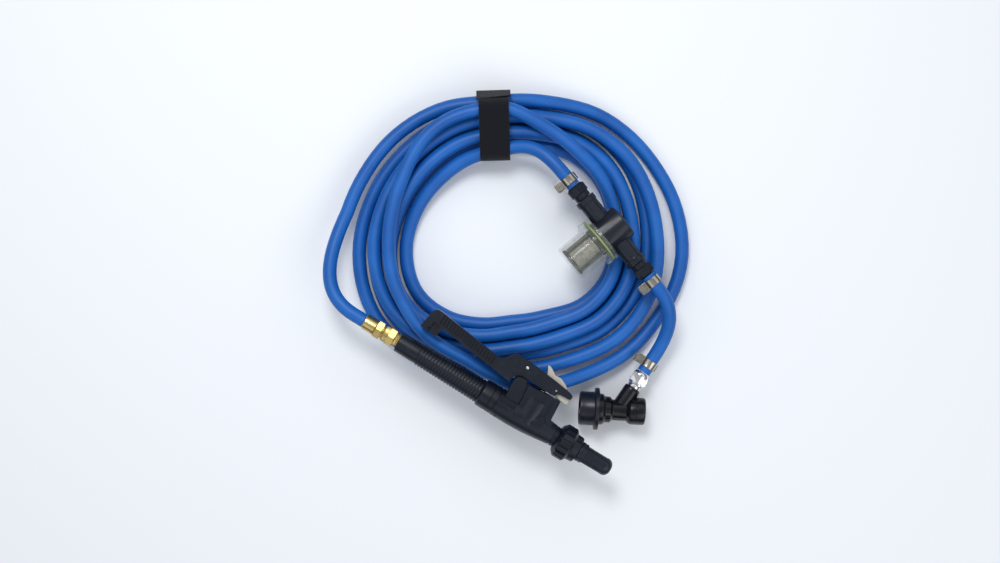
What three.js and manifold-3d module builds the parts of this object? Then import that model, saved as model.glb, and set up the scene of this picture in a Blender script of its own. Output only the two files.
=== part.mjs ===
// A hand spray gun on a coiled hose, with an inline strainer and a quick disconnect, all lying
// on a flat surface. Millimetres, +Z up. The gun's axis runs along +X, its lever towards +Y.
import * as THREE from 'three';
import { mergeVertices } from 'three/addons/utils/BufferGeometryUtils.js';
import Module from 'manifold-3d';

const wasm = await Module();
wasm.setup();

// Driving dimensions
const clearance = 0.3;          // gap between neighbouring pieces
const flatness = 0.004;         // faces closer to flat than this are joined
const hoseDiameter = 12.7;
const frameShift = [-5.3, -98.9]; // puts the origin under the middle of the hardware
const gunHeight = 46.7;         // gun axis above the surface
const gripRearRadius = 9.35;
const gripStartRadius = 10.1;
const gripEndRadius = 11.2;
const gripRibCount = 21;
const gripRibPitch = 3.1;
const gripRibDepth = 0.8;
const collarRadius = 13;
const bodyHalfWidth = 11.5;
const chamberRadius = 13.4;
const chamberBoreRadius = 8.5;
const chamberTop = 28.5;
const frontTubeRadius = 9.65;
const leverWidth = 14;
const leverRibCount = 19;
const pivotPinRadius = 1.6;
const pivot = [19.7, 40.6];
const clipPinRadius = 0.9;
const clipPivot = [52.6, 36.2];
const capNutRadius = 15.4;
const capNutFlutes = 16;
const nozzleRadius = 9.3;
const nozzleTipRadius = 8.1;
const nozzleLength = 34;
const brassHexAcrossFlats = 15.6;
const strainerHeight = 43.6;
const strainerPlace = [20.2, 186];
const strainerTurn = -19.3;     // degrees, flow axis from the gun's axis
const strainerBodyRadius = 16.5;
const strainerArmRadius = 8.8;
const clampSetback = 6.9;       // from a hose's end at the strainer to its clamp's middle
const tailClampSetback = 8.9;   // the same at the disconnect
const bowlRadius = 17.8;
const bowlWall = 2;
const bowlCollarRadius = 21.5;
const bowlCollarWidth = 11;
const bowlLugs = 8;
const screenRadius = 12.5;
const disconnectPlace = [81.5, 32.4];
const disconnectTurn = 27.7;
const collarRimRadius = 19.5;   // the disconnect lies on this rim
const lockCollarRadius = 15.65;
const neckRadius = 9.5;
const endCapRadius = 12.6;
const sideArmTurn = 59.5;
const sideArmRadius = 6.9;
const clampBandWidth = 7.8;
const clampBandThickness = 0.8;
const strapWidth = 27;
const strapThickness = 2;
const loopCount = 7;
const loopSteps = 24;
const loopSides = 6;
const hoseSides = 8;
const slotPitch = 14.8;         // between hoses that lie side by side
const layerRise = 13.4;         // between hoses that lie on each other

const hoseRadius = hoseDiameter / 2;
const rad = THREE.MathUtils.degToRad;

// Materials
const finish = (color, roughness, metalness) =>
  new THREE.MeshStandardMaterial({ color, roughness, metalness });
const blackPlastic = finish(0x24272e, 0.55, 0);
const blueHose = finish(0x1f5cc0, 0.5, 0);
const brass = finish(0xc9a04a, 0.3, 1);
const steel = finish(0xb8b4ad, 0.25, 1);
const chrome = finish(0xe0e0e2, 0.1, 1);
const clearPlastic = finish(0xc9cdc4, 0.15, 0);
const greenRubber = finish(0x8b9a5c, 0.6, 0);
const greyPlastic = finish(0xb4b0a8, 0.5, 0);
const blackRubber = finish(0x16171a, 0.8, 0);
const strapFabric = finish(0x23252b, 0.95, 0);
const meshSteel = finish(0xa39c90, 0.4, 0.9);

// Solids
function toSolid(geometry) {
  const bare = geometry.index ? geometry.toNonIndexed() : geometry.clone();
  bare.deleteAttribute('normal');
  bare.deleteAttribute('uv');
  const merged = mergeVertices(bare, 1e-4);
  return new wasm.Manifold(new wasm.Mesh({
    numProp: 3,
    vertProperties: new Float32Array(merged.attributes.position.array),
    triVerts: new Uint32Array(merged.index.array),
  }));
}

function toGeometry(solid) {
  const mesh = solid.simplify(flatness).getMesh();
  const geometry = new THREE.BufferGeometry();
  geometry.setAttribute('position', new THREE.BufferAttribute(mesh.vertProperties, 3));
  geometry.setIndex(new THREE.BufferAttribute(mesh.triVerts, 1));
  return geometry;
}

function join(...geometries) {
  let whole = toSolid(geometries[0]);
  for (const other of geometries.slice(1)) whole = whole.add(toSolid(other));
  return toGeometry(whole);
}

function cut(geometry, ...tools) {
  let rest = toSolid(geometry);
  for (const tool of tools) rest = rest.subtract(toSolid(tool));
  return toGeometry(rest);
}

// A body turned about the X axis from pairs of [x, radius]
function turned(profile, sides = 18) {
  const points = profile.map(([x, r]) => new THREE.Vector2(r, x));
  return new THREE.LatheGeometry(points, sides).rotateZ(-Math.PI / 2);
}

function rod(x0, x1, radius, sides = 18) {
  return turned([[x0, 0], [x0, radius], [x1, radius], [x1, 0]], sides);
}

function tube(x0, x1, outer, inner, sides = 18) {
  return turned([[x0, inner], [x0, outer], [x1, outer], [x1, inner], [x0, inner]], sides);
}

function block(x0, x1, y0, y1, z0, z1) {
  return new THREE.BoxGeometry(x1 - x0, y1 - y0, z1 - z0)
    .translate((x0 + x1) / 2, (y0 + y1) / 2, (z0 + z1) / 2);
}

// An outline in X and Y, as thick as the space from z0 to z1
function plate(outline, z0, z1) {
  const shape = outline instanceof THREE.Shape ? outline
    : new THREE.Shape(outline.map(([x, y]) => new THREE.Vector2(x, y)));
  return new THREE.ExtrudeGeometry(shape, { depth: z1 - z0, bevelEnabled: false, curveSegments: 6 })
    .translate(0, 0, z0);
}

function standingRod(x, y, z0, z1, radius, sides = 16) {
  return rod(z0, z1, radius, sides).rotateY(-Math.PI / 2).translate(x, y, 0);
}

function crossRod(x, y0, y1, radius, sides = 18) {
  return rod(y0, y1, radius, sides).rotateZ(Math.PI / 2).translate(x, 0, 0);
}

// A hexagonal body along X, flats square to Z
const hexRod = (x0, x1, acrossFlats) =>
  rod(x0, x1, acrossFlats / Math.sqrt(3), 6);

// A round wire wound about the X axis, its ends left open
function spring(x0, x1, coilRadius, wireRadius, turns, steps = 8, sides = 4) {
  const ring = [];
  const count = Math.round(turns * steps);
  for (let i = 0; i <= count; i++) {
    const angle = 2 * Math.PI * turns * i / count;
    ring.push(new THREE.Vector3(x0 + wireRadius + (x1 - x0 - 2 * wireRadius) * i / count,
      coilRadius * Math.cos(angle), coilRadius * Math.sin(angle)));
  }
  return sweep(ring, wireRadius, sides, 0, new THREE.Vector3(1, 0, 0));
}

// A closed tube that follows a list of points, with flat ends
function sweep(points, radius, sides, spin = 0, upright = new THREE.Vector3(0, 0, 1)) {
  const positions = [];
  const index = [];
  const last = points.length - 1;
  const along = new THREE.Vector3();
  const side = new THREE.Vector3();
  const lift = new THREE.Vector3();
  points.forEach((point, i) => {
    along.subVectors(points[Math.min(i + 1, last)], points[Math.max(i - 1, 0)]).normalize();
    side.crossVectors(along, upright).normalize();
    lift.crossVectors(side, along);
    for (let j = 0; j < sides; j++) {
      const angle = 2 * Math.PI * (j + spin) / sides;
      positions.push(point.x + radius * (side.x * Math.cos(angle) + lift.x * Math.sin(angle)),
        point.y + radius * (side.y * Math.cos(angle) + lift.y * Math.sin(angle)),
        point.z + radius * (side.z * Math.cos(angle) + lift.z * Math.sin(angle)));
    }
  });
  for (let i = 0; i < last; i++) {
    for (let j = 0; j < sides; j++) {
      const a = i * sides + j;
      const b = i * sides + (j + 1) % sides;
      index.push(a, b, a + sides, b, b + sides, a + sides);
    }
  }
  for (let j = 1; j < sides - 1; j++) {
    index.push(0, j + 1, j);
    index.push(last * sides, last * sides + j, last * sides + j + 1);
  }
  const geometry = new THREE.BufferGeometry();
  geometry.setAttribute('position', new THREE.Float32BufferAttribute(positions, 3));
  geometry.setIndex(index);
  return facingOut(geometry);
}

function facingOut(geometry) {
  const p = geometry.attributes.position;
  const index = geometry.index.array;
  let volume = 0;
  const [a, b, c] = [new THREE.Vector3(), new THREE.Vector3(), new THREE.Vector3()];
  for (let i = 0; i < index.length; i += 3) {
    a.fromBufferAttribute(p, index[i]);
    b.fromBufferAttribute(p, index[i + 1]);
    c.fromBufferAttribute(p, index[i + 2]);
    volume += a.dot(b.cross(c));
  }
  if (volume < 0) {
    for (let i = 0; i < index.length; i += 3) [index[i], index[i + 1]] = [index[i + 1], index[i]];
  }
  return geometry;
}

function piece(parent, name, geometry, material) {
  geometry.computeVertexNormals();
  const mesh = new THREE.Mesh(geometry, material);
  mesh.name = name;
  parent.add(mesh);
  return mesh;
}

const part = new THREE.Group();
const bench = new THREE.Group();
bench.position.set(frameShift[0], frameShift[1], 0);
part.add(bench);

// Brass fitting behind the grip, from the hose to the handle
const gun = new THREE.Group();
gun.position.z = gunHeight;
bench.add(gun);

const gripStart = -92.6;
const sleeveStart = -129;
const sleeveEnd = -117.5;
const sleeveRadius = hoseRadius + clearance + 0.9;
const fittingBore = 3;
const hosePlug = sleeveStart + 3.2;   // the hose ends this far inside the sleeve
const threadRadius = 6.2;
const threadDepth = 9;

piece(gun, 'brass_sleeve', turned([
  [sleeveStart, hoseRadius + clearance], [sleeveStart, sleeveRadius - 0.4],
  [sleeveStart + 0.6, sleeveRadius], [sleeveEnd - 0.6, sleeveRadius],
  [sleeveEnd, sleeveRadius - 0.4], [sleeveEnd, fittingBore],
  [hosePlug + clearance, fittingBore], [hosePlug + clearance, hoseRadius + clearance],
  [sleeveStart, hoseRadius + clearance]]), brass);

const adapterStart = sleeveEnd + clearance;
const hexOneEnd = -110.6;
const neckEnd = -105.5;
const hexTwoEnd = -98.4;
piece(gun, 'brass_adapter', cut(
  join(hexRod(adapterStart, hexOneEnd, brassHexAcrossFlats),
    rod(hexOneEnd - 1, neckEnd + 1, 5.6),
    turned([[neckEnd - 2, 0], [neckEnd - 2, 6.2], [neckEnd, 8.2], [neckEnd + 2, 8.2], [neckEnd + 2, 0]]),
    hexRod(neckEnd, hexTwoEnd, brassHexAcrossFlats),
    rod(hexTwoEnd - 1, gripStart + threadDepth, threadRadius)),
  rod(adapterStart - 1, gripStart + threadDepth + 1, fittingBore)), brass);

// Handle: ribbed grip, collar, valve chamber and front tube in one moulding
const gripRearEnd = -73.6;
const ribStart = -70;
const collarStart = -3.7;
const collarEnd = 11;
const bodyEnd = 62.7;
const frontTubeEnd = 75.2;
const nutThreadEnd = 84;
const nutThreadRadius = 8.2;
const waterway = 4;
const chamberX = 42.3;
const chamberFloor = -6;
const hubX = pivot[0] + 1.2;

const gripProfile = [[gripStart, threadRadius + clearance], [gripStart, gripRearRadius - 1.2],
  [gripStart + 1.2, gripRearRadius], [gripRearEnd, gripRearRadius + 0.2],
  [ribStart, gripStartRadius - gripRibDepth]];
for (let i = 0; i < gripRibCount; i++) {
  const x = ribStart + i * gripRibPitch;
  const crest = gripStartRadius + (gripEndRadius - gripStartRadius) * i / (gripRibCount - 1);
  gripProfile.push([x + 0.5, crest], [x + gripRibPitch - 1.1, crest],
    [x + gripRibPitch - 0.4, crest - gripRibDepth]);
}
gripProfile.push([collarStart, collarRadius - 0.6], [collarEnd, collarRadius],
  [collarEnd + 3, collarRadius], [collarEnd + 3, waterway],
  [gripStart + threadDepth + clearance, waterway],
  [gripStart + threadDepth + clearance, threadRadius + clearance],
  [gripStart, threadRadius + clearance]);

const lowerBody = new THREE.Shape();
lowerBody.moveTo(collarEnd, -collarRadius);
lowerBody.lineTo(32, -13.6);
lowerBody.lineTo(frontTubeEnd - 4, -frontTubeRadius);
lowerBody.lineTo(frontTubeEnd - 4, frontTubeRadius - 1);
lowerBody.lineTo(collarEnd, frontTubeRadius);

const hubRadius = 6.4;
const valveBlock = new THREE.Shape();
valveBlock.moveTo(15.3, 4);
valveBlock.lineTo(15.3, 16);
valveBlock.absarc(hubX, 24.4, hubRadius, Math.PI, 0, true);
valveBlock.lineTo(29.4, chamberTop - 3);
valveBlock.lineTo(bodyEnd, chamberTop - 1);
valveBlock.absarc(bodyEnd + 3, frontTubeRadius + 1, 3, Math.PI, 1.5 * Math.PI, false);
valveBlock.lineTo(bodyEnd, 4);

// The lever is forked over a single tongue of the body that carries its pivot
const tongue = plate([[pivot[0] - 5, 26], [pivot[0] - 5, pivot[1]], [pivot[0] - 2.5, pivot[1] + 4],
  [pivot[0] + 2.5, pivot[1] + 4], [pivot[0] + 5, pivot[1]], [pivot[0] + 7, 26]], -3.4, 3.4);

piece(gun, 'valve_body', cut(
  join(turned(gripProfile, 16),
    plate(lowerBody, -bodyHalfWidth, bodyHalfWidth),
    rod(collarEnd, frontTubeEnd, frontTubeRadius),
    rod(frontTubeEnd - 1, nutThreadEnd, nutThreadRadius, 16),
    plate(valveBlock, -bodyHalfWidth, bodyHalfWidth),
    crossRod(chamberX, -4, chamberTop - 1, chamberRadius, 22),
    tongue),
  crossRod(chamberX, chamberFloor, chamberTop + 5, chamberBoreRadius, 20),
  rod(collarEnd - 2, nutThreadEnd + 1, waterway, 10),
  standingRod(pivot[0], pivot[1], -10, 10, pivotPinRadius + 0.1, 16),
  block(13, 28, 4.5, 9.2, bodyHalfWidth - 1.2, bodyHalfWidth + 5),
  tube(70.6, 71.6, frontTubeRadius + 2, frontTubeRadius - 0.8),
  tube(73, 74, frontTubeRadius + 2, frontTubeRadius - 0.8)), blackPlastic);

// Valve inside the chamber: screwed plug, stem, spring and seal
const plugBottom = 20;
const plugTop = chamberTop + 0.8;
const stemRadius = 2.6;
const stemTop = 30.5;
const discY = 2;
const sealHeight = 2.4;
piece(gun, 'valve_plug', turned([
  [plugBottom, stemRadius + clearance], [plugBottom, chamberBoreRadius - clearance],
  [plugTop - 1.2, chamberBoreRadius - clearance], [plugTop - 1.2, chamberBoreRadius - 1],
  [plugTop, chamberBoreRadius - 1.4], [plugTop, stemRadius + clearance],
  [plugBottom, stemRadius + clearance]]).rotateZ(Math.PI / 2).translate(chamberX, 0, 0), blackPlastic);
piece(gun, 'stem_seal', turned([
  [plugBottom - clearance - sealHeight, stemRadius + 0.2],
  [plugBottom - clearance - sealHeight, stemRadius + 2.6],
  [plugBottom - clearance, stemRadius + 2.6], [plugBottom - clearance, stemRadius + 0.2],
  [plugBottom - clearance - sealHeight, stemRadius + 0.2]])
  .rotateZ(Math.PI / 2).translate(chamberX, 0, 0), blackRubber);
piece(gun, 'valve_stem', turned([
  [discY - 4, 0], [discY - 4, 3.2], [discY - 1.5, 5.6], [discY + 1.2, 5.6], [discY + 1.2, stemRadius],
  [stemTop - 0.6, stemRadius], [stemTop, stemRadius - 0.6], [stemTop, 0]])
  .rotateZ(Math.PI / 2).translate(chamberX, 0, 0), steel);
const springTop = plugBottom - 2 * clearance - sealHeight;
piece(gun, 'valve_spring', spring(discY + 1.2 + clearance, springTop, 4.4, 0.55, 5)
  .rotateZ(Math.PI / 2).translate(chamberX, 0, 0), steel);

// Lever: ribbed rear arm with a hooked end, hump over the pivot, forked front arm
const arm = new THREE.Shape();
arm.moveTo(-82.8, 22.7);
arm.lineTo(-77.4, 23.6);
arm.lineTo(-75, 22.6);
arm.lineTo(-66, 21.4);
arm.lineTo(-64, 30.3);
arm.lineTo(11.6, 21.2);
arm.lineTo(12.4, 25.6);
arm.lineTo(14.6, 29.8);
arm.lineTo(20.3, 32);
arm.lineTo(57.1, 30.2);
arm.lineTo(61.2, 34.6);
arm.lineTo(70.9, 35);
arm.lineTo(71, 39.4);
arm.lineTo(63.9, 41.5);
arm.lineTo(45.5, 43.9);
arm.lineTo(27, 45.6);
arm.lineTo(8.6, 46.8);
arm.quadraticCurveTo(4.2, 46.4, 2.4, 44);
arm.lineTo(-1.4, 38.6);
arm.quadraticCurveTo(-4, 35.4, -8, 35.4);
arm.lineTo(-73.6, 43.8);
arm.quadraticCurveTo(-78.4, 44, -80.2, 40);
const ribPocket = [];
for (let i = 0; i < leverRibCount; i++) {
  const x = -69 + i * 3.2;
  const edge = 43 - (x + 72) * 0.124;
  for (const side of [-1, 1]) {
    ribPocket.push(block(x, x + 1.3, edge - 8.2, edge + 1.5,
      side > 0 ? leverWidth / 2 - 0.7 : -leverWidth / 2 - 1,
      side > 0 ? leverWidth / 2 + 1 : -leverWidth / 2 + 0.7));
  }
}
const leverMove = new THREE.Group();
gun.add(leverMove);
piece(leverMove, 'squeeze_lever', cut(
  plate(arm, -leverWidth / 2, leverWidth / 2),
  block(pivot[0] - 9, pivot[0] + 9.5, 15, 60, -3.4 - clearance, 3.4 + clearance),
  block(36, 76, 28, 60, -4, 4),
  standingRod(pivot[0], pivot[1], -10, 10, pivotPinRadius + clearance, 16),
  standingRod(clipPivot[0], clipPivot[1], -10, 10, clipPinRadius + clearance, 12),
  ...ribPocket), blackPlastic);
piece(gun, 'pivot_pin', standingRod(pivot[0], pivot[1], -leverWidth / 2 - 0.5, leverWidth / 2 + 0.5,
  pivotPinRadius, 16), chrome);

// Lock clip that holds the lever: thumb tab above, latch tab below, on its own pin with a wire
const clipHalf = 4 - clearance;
const clip = new THREE.Shape();
clip.moveTo(38.5, 44.6);
clip.lineTo(35, 52.2);
clip.lineTo(38.6, 51.8);
clip.quadraticCurveTo(42.6, 49.2, 45, 47.6);
clip.quadraticCurveTo(50, 48.6, 53.4, 46.8);
clip.lineTo(60.6, 42.6);
clip.lineTo(58.6, 38.4);
clip.lineTo(63.6, 34.6);
clip.lineTo(69.6, 32.8);
clip.quadraticCurveTo(71, 30.4, 68.8, 29.4);
clip.lineTo(61.4, 30);
clip.lineTo(58.2, 31.6);
clip.lineTo(55.2, 34);
clip.lineTo(49.6, 34.4);
clip.lineTo(48, 42.4);
piece(leverMove, 'lock_clip', cut(plate(clip, -clipHalf, clipHalf),
  standingRod(clipPivot[0], clipPivot[1], -10, 10, clipPinRadius + clearance, 12)), greyPlastic);
piece(leverMove, 'clip_pin', standingRod(clipPivot[0], clipPivot[1], -leverWidth / 2 - 0.3,
  leverWidth / 2 + 0.3, clipPinRadius, 12), chrome);

const clipWireRadius = 0.4;
piece(leverMove, 'clip_wire', sweep([[36.5, 35.2], [42, 33.6], [49, 32.6], [54.5, 31.8], [58, 30.4],
  [60.6, 29]].map(([x, y]) => new THREE.Vector3(x, y, 0)), clipWireRadius, 6), chrome);

// Fluted cap nut, seal, nozzle stem and adjustable nozzle
const nutStart = frontTubeEnd + clearance;
const nutRingStart = 91.3;
const nutEnd = 97.8;
const nutBore = nutThreadRadius + clearance;
const stemStart = nutThreadEnd + clearance + 1.6 + clearance;
const flutes = [];
for (let i = 0; i < capNutFlutes; i++) {
  flutes.push(block(nutStart + 1.4, nutRingStart - 2.6, capNutRadius - 1, capNutRadius + 3, -1, 1)
    .rotateX(2 * Math.PI * (i + 0.5) / capNutFlutes));
}
piece(gun, 'cap_nut', cut(turned([
  [nutStart, nutBore], [nutStart, capNutRadius - 4], [nutStart + 3.4, capNutRadius + 0.8],
  [nutRingStart - 2.4, capNutRadius + 0.8], [nutRingStart, 12.6], [nutEnd - 1, 12.2],
  [nutEnd, 11.4], [nutEnd, 6], [nutEnd - 5, 6], [nutEnd - 5, nutBore], [nutStart, nutBore]], 24),
...flutes), blackPlastic);
piece(gun, 'cap_seal', tube(nutThreadEnd + clearance, nutThreadEnd + clearance + 1.6,
  nutThreadRadius - 0.4, waterway, 20), blackRubber);
piece(gun, 'nozzle_stem', turned([
  [stemStart, 2.5], [stemStart, nutThreadRadius - 0.4], [nutEnd - 5 - clearance, nutThreadRadius - 0.4],
  [nutEnd - 5 - clearance, 6 - clearance], [nutEnd + 16, 6 - clearance], [nutEnd + 16, 2.5],
  [stemStart, 2.5]], 20), blackPlastic);
const tipStart = nutEnd + clearance;
const tipEnd = tipStart + nozzleLength;
const nozzleOrifice = 0.9;
piece(gun, 'nozzle_tip', cut(turned([
  [tipStart, 6], [tipStart, nozzleRadius - 0.6], [tipStart + 0.8, nozzleRadius],
  [tipEnd - 5, nozzleTipRadius], [tipEnd - 2.4, nozzleTipRadius - 1.3], [tipEnd - 0.7, nozzleTipRadius - 3.4],
  [tipEnd, nozzleTipRadius - 5], [tipEnd, nozzleOrifice], [tipEnd - 3, nozzleOrifice],
  [tipEnd - 3, 4.6], [nutEnd + 18, 4.6], [nutEnd + 18, 6], [tipStart, 6]], 20),
standingRod(118.5, -5.2, 4.6, 12, 0.8, 10)), blackPlastic);
piece(gun, 'swirl_insert', cut(rod(nutEnd + 20, tipEnd - 3 - clearance, 4.3, 16),
  rod(nutEnd + 19, nutEnd + 26, 2.4, 12), block(nutEnd + 19, tipEnd, 3, 5, -0.8, 0.8),
  block(nutEnd + 19, tipEnd, -5, -3, -0.8, 0.8)), brass);

// A worm drive clamp round a hose that runs along X, its screw standing beside the hose at -Y
const bandRadius = hoseRadius + clearance;
const bandOuter = bandRadius + clampBandThickness;
const screwOffset = bandOuter + 3.7;
const screwRadius = 2.4;
const screwHeadRadius = 3.7;
const housingHalf = 4.6;
function clamp(parent, place, x, side) {
  const around = new THREE.Group();
  around.position.x = x;
  around.rotation.x = side > 0 ? 0 : Math.PI;
  parent.add(around);
  const half = clampBandWidth / 2;
  piece(around, `${place}_clamp_band`, tube(-half, half, bandOuter, bandRadius, 24), steel);
  const wall = screwOffset + screwRadius + 0.9;
  piece(around, `${place}_clamp_housing`, cut(
    block(-half - 0.5, half + 0.5, -wall, -bandOuter + 2.2, -housingHalf, housingHalf),
    rod(-half - 1, half + 1, bandOuter + clearance, 24),
    standingRod(0, -screwOffset, -6, 6, screwRadius + clearance, 16)), steel);
  const up = side > 0 ? 1 : -1;
  const head = housingHalf + clearance;
  const screw = [
    [-head * up, 0], [-head * up, screwRadius], [head * up, screwRadius],
    [head * up, screwHeadRadius - 0.4], [(head + 0.4) * up, screwHeadRadius],
    [(head + 2.4) * up, screwHeadRadius], [(head + 2.8) * up, screwHeadRadius - 0.5],
    [(head + 2.8) * up, 0]];
  const slotEnd = head + 3.5;
  const slot = [Math.min((slotEnd - 2) * up, slotEnd * up), Math.max((slotEnd - 2) * up, slotEnd * up)];
  piece(around, `${place}_clamp_screw`, cut(
    turned(side > 0 ? screw : screw.toReversed(), 14).rotateY(-Math.PI / 2).translate(0, -screwOffset, 0),
    block(-5, 5, -screwOffset - 0.6, -screwOffset + 0.6, ...slot)), steel);
}

// Strainer: flow along X, bowl towards -Y
const strainer = new THREE.Group();
strainer.position.set(strainerPlace[0], strainerPlace[1], strainerHeight);
strainer.rotation.z = rad(strainerTurn);
bench.add(strainer);
const armEnd = 38;
const adapterEnd = armEnd + 14.6;
const hoseEndX = adapterEnd + clearance;
const clampX = hoseEndX + clampSetback;
const bowlAxis = (geometry) => geometry.rotateZ(-Math.PI / 2);
const spigotRadius = 13.4;
const spigotEnd = 19;
const ringStart = strainerArmRadius + clearance;
const gasketStart = 13;
const gasketWidth = 1.8;
const bowlStart = gasketStart + gasketWidth + clearance;
const bowlEnd = 48.5;
const adapterStub = 5.4;
const flowBore = 3.6;

piece(strainer, 'strainer_body', cut(
  join(bowlAxis(turned([[-15.4, 0], [-15.4, strainerBodyRadius - 1.6], [-13.8, strainerBodyRadius],
    [gasketStart - clearance, strainerBodyRadius], [gasketStart - clearance, spigotRadius],
    [spigotEnd, spigotRadius], [spigotEnd, 0]], 22)),
  rod(-armEnd, armEnd, strainerArmRadius, 24),
  turned([[-armEnd, 0], [-armEnd, strainerArmRadius + 0.9], [-armEnd + 5, strainerArmRadius + 0.9],
    [-armEnd + 6, 0]], 24),
  turned([[armEnd - 6, 0], [armEnd - 5, strainerArmRadius + 0.9], [armEnd, strainerArmRadius + 0.9],
    [armEnd, 0]], 24)),
  bowlAxis(rod(-9, spigotEnd + 1, 9.6, 20)),
  rod(-armEnd - 1, -armEnd + 9, adapterStub + clearance, 14),
  rod(armEnd - 9, armEnd + 1, adapterStub + clearance, 14),
  rod(-armEnd - 1, armEnd + 1, flowBore, 10)), blackPlastic);
for (const [name, side] of [['inlet_adapter', -1], ['outlet_adapter', 1]]) {
  piece(strainer, name, cut(
    join(rod(armEnd - 8, armEnd + 4, adapterStub, 14),
      rod(armEnd + clearance, armEnd + 5.4, 7.4, 16),
      hexRod(armEnd + 5, adapterEnd - 1.4, 17),
      turned([[adapterEnd - 2, 0], [adapterEnd - 2, 9], [adapterEnd, 6.6], [adapterEnd, 0]], 12)),
    rod(armEnd - 9, adapterEnd + 1, 2.6, 8)).rotateZ(side > 0 ? 0 : Math.PI), blackPlastic);
}
const lugs = (start, end, reach) => {
  const list = [];
  for (let i = 0; i < bowlLugs; i++) {
    const turn = 2 * Math.PI * (i + 0.5) / bowlLugs;
    list.push(block(start, end, reach - 3, reach + 1.6, -2.4, 2.4).rotateX(turn));
  }
  return list;
};
piece(strainer, 'bowl_ring', bowlAxis(cut(join(
  tube(ringStart, gasketStart - clearance, bowlCollarRadius, strainerBodyRadius + clearance, 24),
  ...lugs(ringStart + 1, gasketStart - clearance, bowlCollarRadius)))), clearPlastic);
piece(strainer, 'bowl_gasket', bowlAxis(tube(gasketStart, gasketStart + gasketWidth,
  bowlCollarRadius + 0.4, spigotRadius + clearance, 24)), greenRubber);
const collarEndX = bowlStart + bowlCollarWidth - 2;
piece(strainer, 'strainer_bowl', bowlAxis(join(turned([
  [bowlStart, spigotRadius + clearance], [bowlStart, bowlCollarRadius],
  [collarEndX - 3, bowlCollarRadius], [collarEndX, bowlCollarRadius - 2.4],
  [collarEndX, bowlRadius], [bowlEnd - 1.2, bowlRadius], [bowlEnd, bowlRadius - 1.2], [bowlEnd, 0],
  [bowlEnd - bowlWall, 0], [bowlEnd - bowlWall, bowlRadius - bowlWall],
  [spigotEnd + 1, bowlRadius - bowlWall], [spigotEnd + 1, spigotRadius + clearance],
  [bowlStart, spigotRadius + clearance]], 24),
...lugs(bowlStart, collarEndX - 4, bowlCollarRadius))), clearPlastic);
const frameWidth = 2.6;
const screenEnd = bowlEnd - bowlWall - clearance - frameWidth;
piece(strainer, 'mesh_screen', bowlAxis(tube(spigotEnd + clearance, screenEnd - clearance,
  screenRadius, screenRadius - 0.8, 22)), meshSteel);
piece(strainer, 'screen_frame', bowlAxis(turned([
  [screenEnd, 0], [screenEnd, screenRadius + 1], [screenEnd + frameWidth, screenRadius + 1],
  [screenEnd + frameWidth, 0]], 22)), blackPlastic);
clamp(strainer, 'inlet', -clampX, 1);
clamp(strainer, 'outlet', clampX, 1);

// Quick disconnect: socket face at X 0, side arm to the short hose
const disconnect = new THREE.Group();
disconnect.position.set(disconnectPlace[0], disconnectPlace[1], collarRimRadius);
disconnect.rotation.z = rad(disconnectTurn);
bench.add(disconnect);
const socketRadius = 8.8;
const noseRadius = 12.4;
const socketDepth = 14;
const poppetBore = 6.2;
const rimStart = 13.8;
const rimEnd = 17.6;
const pullTravel = 3;
const shoulder = rimEnd + pullTravel + clearance;
const neckStart = 25.4;
const capStart = 46.4;
const capEnd = 60.7;
const capThreadRadius = 9;
const armBase = 35.9;
const armReach = 27;
const stubRadius = 5.2;
const stubReach = armReach + 9;
const nutReach = armReach + 1;
const nutEndX = armReach + 14.6;
const stopRingRadius = 13.4;    // keeps the collar on against its spring
const stopRingEnd = 2.7;

const sideArm = (geometry) => geometry.rotateZ(rad(sideArmTurn)).translate(armBase, 0, 0);
const neckGrooves = [];
for (let i = 0; i < 10; i++) {
  neckGrooves.push(block(neckStart + 4, capStart - 2.5, neckRadius - 0.7, neckRadius + 2, -0.9, 0.9)
    .rotateX(2 * Math.PI * i / 10));
}
const armSolid = cut(sideArm(turned([[6, 0], [6, sideArmRadius + 1], [armReach - 1, sideArmRadius],
  [armReach, sideArmRadius - 1], [armReach, stubRadius], [stubReach, stubRadius], [stubReach, 0]], 16)),
rod(capStart - clearance, capEnd + 5, endCapRadius + clearance));
piece(disconnect, 'disconnect_body', cut(
  join(turned([[1.2, 0], [1.2, stopRingRadius], [stopRingEnd, stopRingRadius],
    [stopRingEnd, noseRadius], [shoulder, noseRadius], [shoulder, lockCollarRadius - 0.6],
    [shoulder + 1.2, lockCollarRadius - 0.6], [neckStart, 12], [neckStart + 3.6, 12],
    [neckStart + 3.6, neckRadius], [capStart - clearance, neckRadius],
    [capStart - clearance, capThreadRadius], [capEnd - 4, capThreadRadius], [capEnd - 4, 0]], 22),
  armSolid),
  ...neckGrooves,
  rod(0, 1.2 + socketDepth, socketRadius, 24),
  rod(0, capEnd, poppetBore, 20),
  sideArm(rod(2, stubReach + 1, 2.6, 8))), blackPlastic);
piece(disconnect, 'lock_collar', turned([
  [0, stopRingRadius + clearance], [0, lockCollarRadius - 0.6], [0.6, lockCollarRadius],
  [rimStart, lockCollarRadius], [rimStart, collarRimRadius - 0.5], [rimStart + 0.5, collarRimRadius],
  [rimEnd - 0.5, collarRimRadius], [rimEnd, collarRimRadius - 0.5], [rimEnd, 14.6],
  [6, 14.6], [6, noseRadius + clearance], [stopRingEnd + clearance, noseRadius + clearance],
  [stopRingEnd + clearance, stopRingRadius + clearance], [0, stopRingRadius + clearance]], 20), blackPlastic);
piece(disconnect, 'collar_spring', spring(6 + clearance, shoulder - clearance, 13.55, 0.45, 4, 12), steel);
piece(disconnect, 'socket_seal', tube(socketDepth - 2.2, socketDepth - 0.2, socketRadius - clearance,
  6.5, 24), greenRubber);
const poppetHead = socketDepth + 2.4;
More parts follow.
